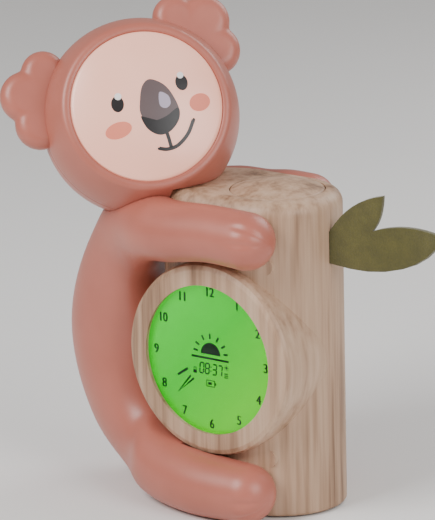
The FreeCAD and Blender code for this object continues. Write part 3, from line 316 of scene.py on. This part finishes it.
def lathe(profile, sides=128, place=Matrix()):
    """A closed skin turned about Z from (radius, level) corners."""
    made = bmesh.new()
    rings = []
    for radius, level in profile:
        if radius < 1e-6:
            rings.append([made.verts.new((0, 0, level))])
            continue
        rings.append([made.verts.new((radius * math.cos(2 * math.pi * i / sides),
                                      radius * math.sin(2 * math.pi * i / sides), level))
                      for i in range(sides)])
    for one, two in zip(rings, rings[1:]):
        for i in range(sides):
            j = (i + 1) % sides
            corners = [one[i % len(one)], one[j % len(one)], two[j % len(two)], two[i % len(two)]]
            corners = list(dict.fromkeys(corners))
            if len(corners) > 2:
                made.faces.new(corners)
    bmesh.ops.transform(made, matrix=place, verts=made.verts)
    return made


def arc(middle, radius, start, end, steps):
    """Points of an arc in a profile, in degrees from the outward direction."""
    return [(middle[0] + radius * math.cos(math.radians(start + (end - start) * i / steps)),
             middle[1] + radius * math.sin(math.radians(start + (end - start) * i / steps)))
            for i in range(steps + 1)]


def round_prism(radius, reach, low, high, sides=64):
    made = bmesh.new()
    outline = [(radius * math.cos(a), radius * math.sin(a))
               for a in (math.pi * (i / sides - 0.5) for i in range(sides + 1))]
    outline += [(-reach - x, -y) for x, y in outline]
    rings = [[made.verts.new((x, y, z)) for x, y in outline] for z in (low, high)]
    count = len(outline)
    for i in range(count):
        made.faces.new([rings[0][i], rings[0][(i + 1) % count], rings[1][(i + 1) % count], rings[1][i]])
    made.faces.new(rings[0][::-1])
    made.faces.new(rings[1])
    bmesh.ops.recalc_face_normals(made, faces=made.faces)
    return made


def loose(name, mesh_data):
    """A helper object for a boolean or a remesh, in metres."""
    bmesh.ops.recalc_face_normals(mesh_data, faces=mesh_data.faces)
    bmesh.ops.scale(mesh_data, vec=(MM, MM, MM), verts=mesh_data.verts)
    data = bpy.data.meshes.new(name)
    mesh_data.to_mesh(data)
    mesh_data.free()
    made = bpy.data.objects.new(name, data)
    bpy.context.scene.collection.objects.link(made)
    return made


def worked(obj, *steps):
    """The object's mesh after modifiers, given as (kind, settings); the object is removed."""
    for kind, settings in steps:
        modifier = obj.modifiers.new(kind.lower(), kind)
        for key, setting in settings.items():
            setattr(modifier, key, setting)
    bpy.context.view_layer.update()
    shape = obj.evaluated_get(bpy.context.evaluated_depsgraph_get())
    data = bpy.data.meshes.new_from_object(shape)
    bpy.data.objects.remove(obj)
    for face in data.polygons:
        face.use_smooth = True
    return data


trunk_cutter = loose("trunk_cutter", round_prism(TRUNK_RADIUS + CUT_GAP, TRUNK_REACH, -10,
                                                  TRUNK_HEIGHT + CUT_GAP))
drum_place = Matrix.Translation((DIAL_X, 0, DIAL_Z)) @ Matrix.Rotation(math.radians(90), 4, "X")
drum_cutter = loose("drum_cutter", lathe(((0, -2), (DRUM_RADIUS + CUT_GAP, -2),
                                          (DRUM_RADIUS + CUT_GAP, DRUM_FRONT + CUT_GAP / 2),
                                          (0, DRUM_FRONT + CUT_GAP / 2)), 160, drum_place))


# Koala's body

# The near arm, the back and the near leg: middle and radius of each ball on the way
LIMB_STOPS = (
    (8, -31, 112, 11.2), (-10, -30.5, 112.3, 11.1), (-28, -29.5, 110.5, 12), (-42, -25.5, 109.4, 13.4),
    (-58, -13, 103, 17), (-65.8, -5, 90, 20.6), (-72.8, 0, 62, 24), (-67.3, -3.5, 37, 22),
    (-55, -11, 21.5, 17.5), (-42, -23.5, 15, 14.4), (-18, -31, 12.2, 12.7), (6.5, -32, 12, 11.5))
FINGER_ANGLES, FINGER_WIDTH, FINGER_DEPTH, PAW_RADIUS = (48, 84), 7.0, 0.7, 11.5
REAR_REACH = 16.0                # how much shorter the far arm and leg are
PIVOT = Vector((-42, 0, 62))


def eased(stops, between):
    """The stops with more between them, on a smooth curve through them."""
    made = []
    for i in range(len(stops) - 1):
        a, b, c, d = (stops[max(0, min(len(stops) - 1, i + k))] for k in (-1, 0, 1, 2))
        for step in range(between):
            u = step / between
            made.append(tuple(0.5 * (2 * q + (r - p) * u + (2 * p - 5 * q + 4 * r - e) * u * u
                                     + (3 * q - p - 3 * r + e) * u ** 3)
                              for p, q, r, e in zip(a, b, c, d)))
    return made + [stops[-1]]


def limb_tube(side, sides=96):
    """One arm, the back and one leg as a smooth swelling tube with rounded paws."""
    stops = [list(stop) for stop in LIMB_STOPS]
    if side > 0:
        for stop in (stops[0], stops[1], stops[-1]):
            stop[0] -= REAR_REACH if stop is not stops[1] else 0.5 * REAR_REACH
    tip_x = stops[0][0]
    line = eased(stops, 10)
    tips = 10
    rings = []
    for stop, order in ((line[0], -1), (line[-1], 1)):
        x, y, z, radius = stop
        dome = [(x + radius * math.sin(a), y, z, radius * math.cos(a))
                for a in (math.pi / 2 * k / tips for k in range(1, tips + 1))]
        rings = (dome[::-1] if order < 0 else []) + rings + (dome if order > 0 else line)
    made = bmesh.new()
    loops = []
    for x, y, z, radius in rings:
        away = Vector((min(x - PIVOT.x, 0), 0, z - PIVOT.z)).normalized()
        middle = Vector((x, -side * y, z))
        loop = []
        for i in range(sides):
            angle = 2 * math.pi * i / sides
            reach = max(radius, 0.02)
            out = away * math.cos(angle) + Vector((0, side * math.sin(angle), 0))
            tip = max(0.0, min(1.0, (x - tip_x + 3) / 6.0))
            for finger in FINGER_ANGLES:
                off = (math.degrees(angle) - finger) / FINGER_WIDTH
                reach -= FINGER_DEPTH * tip * math.exp(-off * off) * (radius / PAW_RADIUS)
            loop.append(made.verts.new(middle + out * reach))
        loops.append(loop)
    for one, two in zip(loops, loops[1:]):
        for i in range(sides):
            j = (i + 1) % sides
            made.faces.new([one[i], one[j], two[j], two[i]])
    made.faces.new(loops[0])
    made.faces.new(loops[-1])
    return made


def body_piece(name, side, node):
    half = bmesh.new()
    bmesh.ops.create_cube(half, size=200, matrix=Matrix.Translation((-50, -side * 99.98, 60)))
    keep = loose("half_cutter", half)
    floor = bmesh.new()
    bmesh.ops.create_cube(floor, size=300, matrix=Matrix.Translation((-50, 0, -149.7)))
    floor = loose("floor_cutter", floor)
    round_head = bmesh.new()
    bmesh.ops.create_icosphere(round_head, subdivisions=5, radius=HEAD_RADIUS + CUT_GAP,
                               matrix=Matrix.Translation(HEAD))
    round_head = loose("head_cutter", round_head)
    cutters = [keep, trunk_cutter, floor, round_head] + ([drum_cutter] if side < 0 else [])
    steps = [("BOOLEAN", {"object": cutter, "operation": "DIFFERENCE", "solver": "EXACT"})
             for cutter in cutters]
    data = worked(loose(name + "_whole", limb_tube(side)), *steps)
    for cutter in (keep, floor, round_head):
        bpy.data.objects.remove(cutter)
    as_piece(name, data, PINK, replaces=(node,))


body_piece("koala_front_skin", -1, "koala_body_front")
body_piece("koala_rear_skin", 1, "koala_body_rear")


# Koala's head

def head_piece():
    """The round head with a softened lip round the face and a fine groove at the seam."""
    soft, wall = 2.6, 2.2
    lip = math.degrees(math.asin((FACE_PLANE - soft) / (HEAD_RADIUS - soft)))
    edge = ((HEAD_RADIUS - soft) * math.cos(math.radians(lip)), FACE_PLANE - soft)
    profile = [(0, -HEAD_RADIUS)]
    profile += [(r, z) for r, z in arc((0, 0), HEAD_RADIUS, -89, lip, 70) if abs(z - HEAD_SEAM) > 0.5]
    profile += arc(edge, soft, lip, 90, 8)
    profile += [(FACE_RADIUS + 0.7, FACE_PLANE), (FACE_RADIUS + 0.25, FACE_PLANE - 0.4),
                (FACE_RADIUS + 0.25, FACE_PLANE - wall)]
    inner = math.degrees(math.asin((FACE_PLANE - wall) / (HEAD_RADIUS - wall)))
    profile += arc((0, 0), HEAD_RADIUS - wall, inner, -89, 40)
    profile += [(0, -HEAD_RADIUS + wall)]
    grooved = []
    for r, z in profile:
        grooved.append((r, z))
        outside = r > 36.5 and len(grooved) < 60
        if outside and z < HEAD_SEAM <= z + 1.6:
            grooved += [(HEAD_RADIUS - 0.06, HEAD_SEAM - 0.25), (HEAD_RADIUS - 0.3, HEAD_SEAM),
                        (HEAD_RADIUS - 0.06, HEAD_SEAM + 0.25)]
    shell = loose("head_whole", lathe(grooved, 160, TO_HEAD))
    data = worked(shell, ("BOOLEAN", {"object": trunk_cutter, "operation": "DIFFERENCE",
                                      "solver": "EXACT"}))
    as_piece("koala_head_skin", data, PINK,
             replaces=("head_front_shell", "head_rear_shell"))


def dome_level(x, y):
    """How far out the face lens lies at a spot of the face."""
    bulge = (FACE_RADIUS ** 2 + FACE_DOME ** 2) / (2 * FACE_DOME)
    return FACE_PLANE + FACE_DOME - bulge + math.sqrt(max(bulge ** 2 - x * x - y * y, 0))


def face_lens():
    """The domed diffuser with its flange behind the lip."""
    flange, rim, seat = 30.6, FACE_PLANE - 2.9, FACE_PLANE - 3.3
    profile = [(0, dome_level(0, 0))]
    profile += [(r, dome_level(r, 0)) for r in (FACE_RADIUS * k / 24 for k in range(1, 24))]
    profile += [(FACE_RADIUS - 0.15, dome_level(FACE_RADIUS - 0.15, 0)), (FACE_RADIUS, FACE_PLANE - 0.25),
                (FACE_RADIUS, rim), (flange, rim), (flange, seat), (0, seat)]
    finish_piece("night_light_lens", lathe(profile, 128, TO_HEAD), FACE,
                 replaces=("face_lens",))


# Each lobe of an ear: its middle in the head's right and up, and its radius
EAR_LOBES = ((28.2, 30.5, 8.6), (38.2, 24.4, 10.2), (37.6, 12.2, 9.8), (31, 21, 10.5), (28, 13, 8))


def ear_piece(name, side, node):
    """A flat ear of three scalloped lobes with a fat rounded rim, melted together."""
    thick, soft = 5.1, 4.6
    made = bmesh.new()
    for x, y, radius in EAR_LOBES:
        profile = [(0, -thick)] + arc((radius - soft, -thick + soft), soft, -90, 0, 8)
        profile += arc((radius - soft, thick - soft), soft, 0, 90, 8) + [(0, thick)]
        lobe = lathe(profile, 64, TO_HEAD @ Matrix.Translation((side * x, y, HEAD_SEAM)))
        data = bpy.data.meshes.new("lobe")
        bmesh.ops.recalc_face_normals(lobe, faces=lobe.faces)
        lobe.to_mesh(data)
        lobe.free()
        made.from_mesh(data)
        bpy.data.meshes.remove(data)
    data = worked(loose(name + "_lobes", made), ("REMESH", {"mode": "VOXEL", "voxel_size": 0.0006}),
                  ("SMOOTH", {"factor": 0.5, "iterations": 16}))
    as_piece(name, data, PINK, replaces=(node,))


def laid_print(name, made, place, out, material, smooth=False):
    """A flat figure in millimetres becomes a print whose faces look along out."""
    bmesh.ops.transform(made, matrix=place, verts=made.verts)
    bmesh.ops.scale(made, vec=(MM, MM, MM), verts=made.verts)
    for face in made.faces:
        face.smooth = smooth
        face.normal_update()
        if face.normal.dot(out) < 0:
            face.normal_flip()
    data = bpy.data.meshes.new(name)
    made.to_mesh(data)
    made.free()
    return as_piece(name, data, material)


def printed(name, outline, material, lift=0.06, rings=7):
    """A patch of ink that lies on the domed face, from an outline in face millimetres."""
    made = bmesh.new()
    count = len(outline)
    cx = sum(x for x, y in outline) / count
    cy = sum(y for x, y in outline) / count
    loops = []
    for k in range(1, rings + 1):
        loop = []
        for x, y in outline:
            px, py = cx + (x - cx) * k / rings, cy + (y - cy) * k / rings
            loop.append(made.verts.new((px, py, dome_level(px, py) + lift)))
        loops.append(loop)
    hub = made.verts.new((cx, cy, dome_level(cx, cy) + lift))
    for i in range(count):
        j = (i + 1) % count
        made.faces.new([hub, loops[0][i], loops[0][j]])
        for one, two in zip(loops, loops[1:]):
            made.faces.new([one[i], two[i], two[j], one[j]])
    return laid_print(name, made, TO_HEAD, OUT, material, smooth=True)


CAMERA_BACK = Vector((0.588, -0.766, 0.259))
CAMERA_SIDE = Vector((0.793, 0.609, 0))
CAMERA_UP = Vector((-0.158, 0.205, 0.966))

# Where the face's print lies in the photograph, in pixels
LEFT_EYE, RIGHT_EYE = (119.4, 107), (182.2, 85)
LEFT_SPARK, RIGHT_SPARK = (119.8, 99.5), (180.8, 77.8)
LEFT_CHEEK, RIGHT_CHEEK = (120.6, 133), (200.2, 104.5)
NOSE_TOP_EDGE = ((152, 82), (168, 90), (180, 111), (177, 124), (158, 130), (143, 118), (141.5, 102),
                 (144, 88))
NOSE_LOW_EDGE = ((142.5, 119), (150, 122.5), (158, 122.5), (168, 118), (179, 110), (180, 121),
                 (172, 133), (160.6, 137), (149, 131))
GLEAM_EDGE = ((160.5, 95), (169, 98), (171.5, 106), (167, 110.5), (161, 107.5))
STEM_LINE = ((168, 135), (170, 141), (172, 148))
SMILE_LINE = ((160.6, 150.4), (169, 151), (179, 147), (188.5, 136), (194, 122))
MOUTH_WIDTH = 3.6


def on_face(px, py):
    """A pixel of the photograph as a spot on the domed lens, in the head's own millimetres."""
    c, s = math.cos(math.radians(VIEW_ROLL)), math.sin(math.radians(VIEW_ROLL))
    dx, dy = (px - ORIGIN_PIXEL[0]) / PIXELS_PER_MM, (ORIGIN_PIXEL[1] - py) / PIXELS_PER_MM
    across, rise = dx * c + dy * s, dy * c - dx * s
    start = CAMERA_SIDE * across + CAMERA_UP * rise
    inverse = TO_HEAD.inverted()
    base, ray = inverse @ start, inverse.to_3x3() @ CAMERA_BACK
    level = FACE_PLANE + 3
    for step in range(5):
        along = (level - base.z) / ray.z
        spot = base + ray * along
        level = dome_level(spot.x, spot.y)
    return spot.x, spot.y


def oval(px, py, wide, tall, turn=0, count=40):
    """An oval of the photograph, laid on the face."""
    c, s = math.cos(math.radians(turn)), math.sin(math.radians(turn))
    spots = []
    for i in range(count):
        a = 2 * math.pi * i / count
        x, y = wide / 2 * math.cos(a), tall / 2 * math.sin(a)
        spots.append(on_face(px + x * c - y * s, py + x * s + y * c))
    return spots


def smooth_loop(points, between=8):
    """A closed smooth outline through a few pixels, laid on the face."""
    spots, count = [], len(points)
    for i in range(count):
        a, b, c, d = (points[(i + k) % count] for k in (-1, 0, 1, 2))
        for step in range(between):
            u = step / between
            spots.append(on_face(*(0.5 * (2 * q + (r - p) * u + (2 * p - 5 * q + 4 * r - e) * u * u
                                          + (3 * q - p - 3 * r + e) * u ** 3)
                                   for p, q, r, e in zip(a, b, c, d))))
    return spots


def stroke(name, points, width, material, lift):
    """A line of ink on the face through a few pixels, with round ends."""
    line = eased([tuple(p) for p in points], 8)
    line = [Vector(on_face(*p)) for p in line]
    left, right = [], []
    half = width / 2 / PIXELS_PER_MM
    for i, spot in enumerate(line):
        way = (line[min(i + 1, len(line) - 1)] - line[max(i - 1, 0)]).normalized()
        off = Vector((-way.y, way.x)) * half
        left.append(spot + off)
        right.append(spot - off)
    made = bmesh.new()
    rows = [[made.verts.new((p.x, p.y, dome_level(p.x, p.y) + lift)) for p in (a, m, b)]
            for a, m, b in zip(left, line, right)]
    for one, two in zip(rows, rows[1:]):
        made.faces.new([one[0], one[1], two[1], two[0]])
        made.faces.new([one[1], one[2], two[2], two[1]])
    for row, way in ((rows[0], line[0] - line[1]), (rows[-1], line[-1] - line[-2])):
        way = way.normalized()
        side = Vector((-way.y, way.x))
        start = Vector(row[1].co[:2])
        fan = [made.verts.new((*(start + (way * math.cos(a) + side * math.sin(a)) * half),
                               dome_level(*start) + lift))
               for a in (math.pi * (k / 10 - 0.5) for k in range(11))]
        for a, b in zip(fan, fan[1:]):
            made.faces.new([row[1], a, b])
    return laid_print(name, made, TO_HEAD, OUT, material)


def face_print():
    """Eyes, cheeks, nose and smile, in ink on the lens."""
    printed("eye_left", oval(*LEFT_EYE, 12.5, 16, -8), BLACK)
    printed("eye_right", oval(*RIGHT_EYE, 12, 16, -15), BLACK)
    printed("eye_spark_left", oval(*LEFT_SPARK, 7, 7), WHITE, 0.09)
    printed("eye_spark_right", oval(*RIGHT_SPARK, 6.6, 6.6), WHITE, 0.09)
    printed("cheek_left", oval(*LEFT_CHEEK, 27, 16, -20), CHEEK)
    printed("cheek_right", oval(*RIGHT_CHEEK, 20.6, 17.5, -20), CHEEK)
    printed("nose_upper", smooth_loop(NOSE_TOP_EDGE), NOSE)
    printed("nose_lower", smooth_loop(NOSE_LOW_EDGE), BLACK, 0.09)
    printed("nose_gleam", smooth_loop(GLEAM_EDGE), SHINE, 0.1)
    stroke("mouth_stem", STEM_LINE, MOUTH_WIDTH, BLACK, 0.07)
    stroke("mouth_smile", SMILE_LINE, MOUTH_WIDTH, BLACK, 0.08)


head_piece()
face_lens()
ear_piece("ear_right_skin", 1, "ear_right")
ear_piece("ear_left_skin", -1, "ear_left")
face_print()


# Display

def dial_place(x, z, depth=0.0):
    spot = Matrix.Translation((DIAL_X + x, DIAL_Y - depth, DIAL_Z + z))
    return spot @ Matrix.Rotation(math.radians(90), 4, "X")


def ink(name, made, place):
    """A flat figure drawn in X and Y becomes ink on the dial."""
    return laid_print(name, made, place, Vector((0, -1, 0)), INK)


def shape(*outlines):
    made = bmesh.new()
    for outline in outlines:
        made.faces.new([made.verts.new((x, y, 0)) for x, y in outline])
    return made


def bar(x, y, length, width, turn=0.0):
    c, s = math.cos(math.radians(turn)), math.sin(math.radians(turn))
    half, thick = length / 2, width / 2
    return [(x + a * c - b * s, y + a * s + b * c)
            for a, b in ((-half, -thick), (half, -thick), (half, thick), (-half, thick))]


def disc(x, y, radius, start=0, end=360, count=32):
    return [(x + radius * math.cos(math.radians(start + (end - start) * i / count)),
             y + radius * math.sin(math.radians(start + (end - start) * i / count)))
            for i in range(count + (end - start < 360))]


# A number is laid three times, each a step further right, to make it bolder
BOLD_STEPS = (-0.2, 0.2, 0.2)
NUMBER_SIZE, NUMBER_CIRCLE = 5.2, 26.3


def hour_number(number):
    """One upright hour number on the dial's circle."""
    curve = bpy.data.curves.new("hour_%d" % number, "FONT")
    curve.body, curve.size = str(number), NUMBER_SIZE
    curve.align_x, curve.align_y = "CENTER", "CENTER"
    text = bpy.data.objects.new("hour_text", curve)
    bpy.context.scene.collection.objects.link(text)
    bpy.context.view_layer.update()
    data = bpy.data.meshes.new_from_object(text.evaluated_get(bpy.context.evaluated_depsgraph_get()))
    bpy.data.objects.remove(text)
    made = bmesh.new()
    for shift in BOLD_STEPS:
        data.transform(Matrix.Translation((shift, 0, 0.01)))
        made.from_mesh(data)
    bmesh.ops.scale(made, vec=(0.86, 1, 1), verts=made.verts)
    angle = math.radians(90 - 30 * number)
    ink("hour_%d" % number, made,
        dial_place(NUMBER_CIRCLE * math.cos(angle), NUMBER_CIRCLE * math.sin(angle)))


HANDS_TIP = (-16, -15.6)
SEGMENTS = {"0": "abcdef", "8": "abcdefg", "3": "abcdg", "7": "abc"}


def digital_time():
    """The four seven-segment digits and the colon."""
    wide, tall, thick, lean = 1.8, 4.1, 0.6, 0.1
    outlines = []
    for x, digit in ((-4.4, "0"), (-1.75, "8"), (1.75, "3"), (4.4, "7")):
        half = tall / 4
        parts = {"a": (0, tall / 2, 0), "g": (0, 0, 0), "d": (0, -tall / 2, 0), "b": (wide / 2, half, 90),
                 "c": (wide / 2, -half, 90), "f": (-wide / 2, half, 90), "e": (-wide / 2, -half, 90)}
        for key in SEGMENTS[digit]:
            dx, dy, turn = parts[key]
            length = wide * 0.86 if turn == 0 else half * 2 * 0.86
            outlines.append([(x + px + py * lean, py) for px, py in bar(dx, dy, length, thick, turn)])
    for dy in (0.8, -0.8):
        outlines.append(disc(dy * lean, dy, 0.3, count=10))
    ink("digital_time", shape(*outlines), dial_place(0, -4.2))


def dial_signs():
    """The half sun over its horizon, the small signs and the two hands."""
    rays = [bar(7.3 * math.cos(math.radians(a)), 0.6 + 7.3 * math.sin(math.radians(a)), 2.1, 0.75, a)
            for a in (172, 150, 120, 92, 62, 33, 8)]
    ink("half_sun", shape(disc(0, 0.6, 4.7, 0, 180), *rays), dial_place(0, 1))
    ink("horizon_bar", shape(bar(-0.3, 0, 18, 0.85)), dial_place(0, 0))
    ink("padlock_sign", shape(bar(0, -0.5, 1.7, 1.3), bar(-0.5, 0.6, 0.3, 1.0), bar(0.5, 0.6, 0.3, 1.0),
                              bar(0, 1.15, 1.3, 0.3)), dial_place(-7.7, -5.6))
    ink("small_sun_sign", shape(disc(0, 0, 0.55, count=14), *[
        bar(1.0 * math.cos(math.radians(a)), 1.0 * math.sin(math.radians(a)), 0.5, 0.22, a)
        for a in range(0, 360, 45)]), dial_place(7.5, -2.6))
    ink("level_bars_sign", shape(*[bar(0, 0.75 * k, 1.9, 0.42) for k in (-1, 0, 1)]), dial_place(7.3, -5.8))
    ink("battery_sign", shape(bar(0, 1.2, 4, 0.35), bar(0, -1.2, 4, 0.35), bar(-1.9, 0, 0.35, 2.4),
                              bar(1.9, 0, 0.35, 2.4), bar(2.4, 0, 0.5, 1.1), bar(-0.3, 0, 1.8, 1.1)),
        dial_place(-0.3, -10))
    hour = [(-11, -6), (-16, -9.2), (-16.4, -8.4), (-11.4, -5.1)]
    minute = [[(-9.6, -8.5), HANDS_TIP, (-16.2, -15.4), (-10.1, -7.9)],
              [(-8.7, -8.8), HANDS_TIP, (-8.1, -9.4)]]
    ink("hand_signs", shape(hour, *minute), dial_place(0, 0))


def dial_window():
    """The clear window, a little thinner than its seat so that the print shows behind it."""
    profile = ((0, 28.46), (OPENING_RADIUS - 0.3, 28.46), (30.8, 28.4), (30.8, 27.5), (0, 27.5))
    finish_piece("dial_window", lathe(profile, 128, drum_place), CLEAR, smooth=False,
                 replaces=("clock_lens",))


for hour in range(1, 13):
    hour_number(hour)
digital_time()
dial_signs()
dial_window()


# Button and leaf

def button_piece():
    """The lamp button: a shallow dome with a softened edge."""
    radius, edge, dome, soft = 18.3, 125.3, 3.2, 1.0
    bulge = ((radius - soft) ** 2 + dome ** 2) / (2 * dome)
    profile = [(0, edge + dome)]
    for k in range(1, 25):
        r = (radius - soft) * k / 24
        profile.append((r, edge + dome - bulge + math.sqrt(bulge ** 2 - r * r)))
    profile += arc((radius - soft, edge - soft), soft, 72, 0, 6)
    profile += [(radius, 122.7), (20, 122.7), (20, 121.2), (16.5, 121.2), (16.5, 124.3), (0, 124.3)]
    finish_piece("lamp_button", lathe(profile, 128), WOOD, body="top_button",
                 replaces=("top_button",))


def leaf_piece():
    """Two felt lobes with a slight curl."""
    arcs = (((22.6, 111.6), (24, 111.6), (25, 111.6)), ((25, 111.6), (36, 123), (50.3, 128.9)),
            ((50.3, 128.9), (48.4, 120.5), (44.8, 114.4)), ((44.8, 114.4), (59.5, 117.5), (76.9, 116.2)),
            ((76.9, 116.2), (58, 101.2), (25, 99)), ((25, 99), (24, 99), (22.6, 99)))
    outline = []
    for a, m, b in arcs:
        for k in range(8):
            u = k / 8
            q = [2 * mid - 0.5 * (one + two) for one, mid, two in zip(a, m, b)]
            outline.append(tuple((1 - u) ** 2 * one + 2 * u * (1 - u) * ctl + u * u * two
                                 for one, ctl, two in zip(a, q, b)))
    outline.append((22.6, 99))
    made = bmesh.new()
    face = made.faces.new([made.verts.new((x, 0, z)) for x, z in outline])
    made.normal_update()
    bmesh.ops.triangulate(made, faces=[face])
    for again in range(3):
        long = [edge for edge in made.edges if edge.calc_length() > 2.6]
        bmesh.ops.subdivide_edges(made, edges=long, cuts=1)
        bmesh.ops.triangulate(made, faces=made.faces)
    for vert in made.verts:
        x, z = vert.co.x, vert.co.z
        free = max(0.0, (x - 27) / 50.0)
        vert.co.y = 1.6 * free * math.sin((z - 104) * 0.16) + 1.2 * free * math.sin(x * 0.13)
    bmesh.ops.scale(made, vec=(MM, MM, MM), verts=made.verts)
    data = bpy.data.meshes.new("leaf_cloth")
    made.to_mesh(data)
    area = sum(face.calc_area() for face in made.faces)
    made.free()
    holder = bpy.data.objects.new("leaf_holder", data)
    bpy.context.scene.collection.objects.link(holder)
    data = worked(holder, ("SOLIDIFY", {"thickness": 0.0019, "offset": 0.0}),
                  ("BEVEL", {"width": 0.0004, "segments": 2}))
    piece = as_piece("leaf_cloth", data, FELT, replaces=("leaf",))


button_piece()
leaf_piece()
bpy.data.objects.remove(trunk_cutter)
bpy.data.objects.remove(drum_cutter)


# Floor

def floor_plane():
    """A wide pale table top."""
    made = bmesh.new()
    bmesh.ops.create_grid(made, x_segments=2, y_segments=2, size=3.0)
    data = bpy.data.meshes.new("pale_floor")
    made.to_mesh(data)
    made.free()
    data.materials.append(mottled("pale_floor", (0.84, 0.83, 0.82), (0.87, 0.86, 0.85), 0.7,
                                  grain=60.0, depth=0.00002, patch=3.0))
    floor = bpy.data.objects.new("pale_floor", data)
    bpy.context.scene.collection.objects.link(floor)


floor_plane()
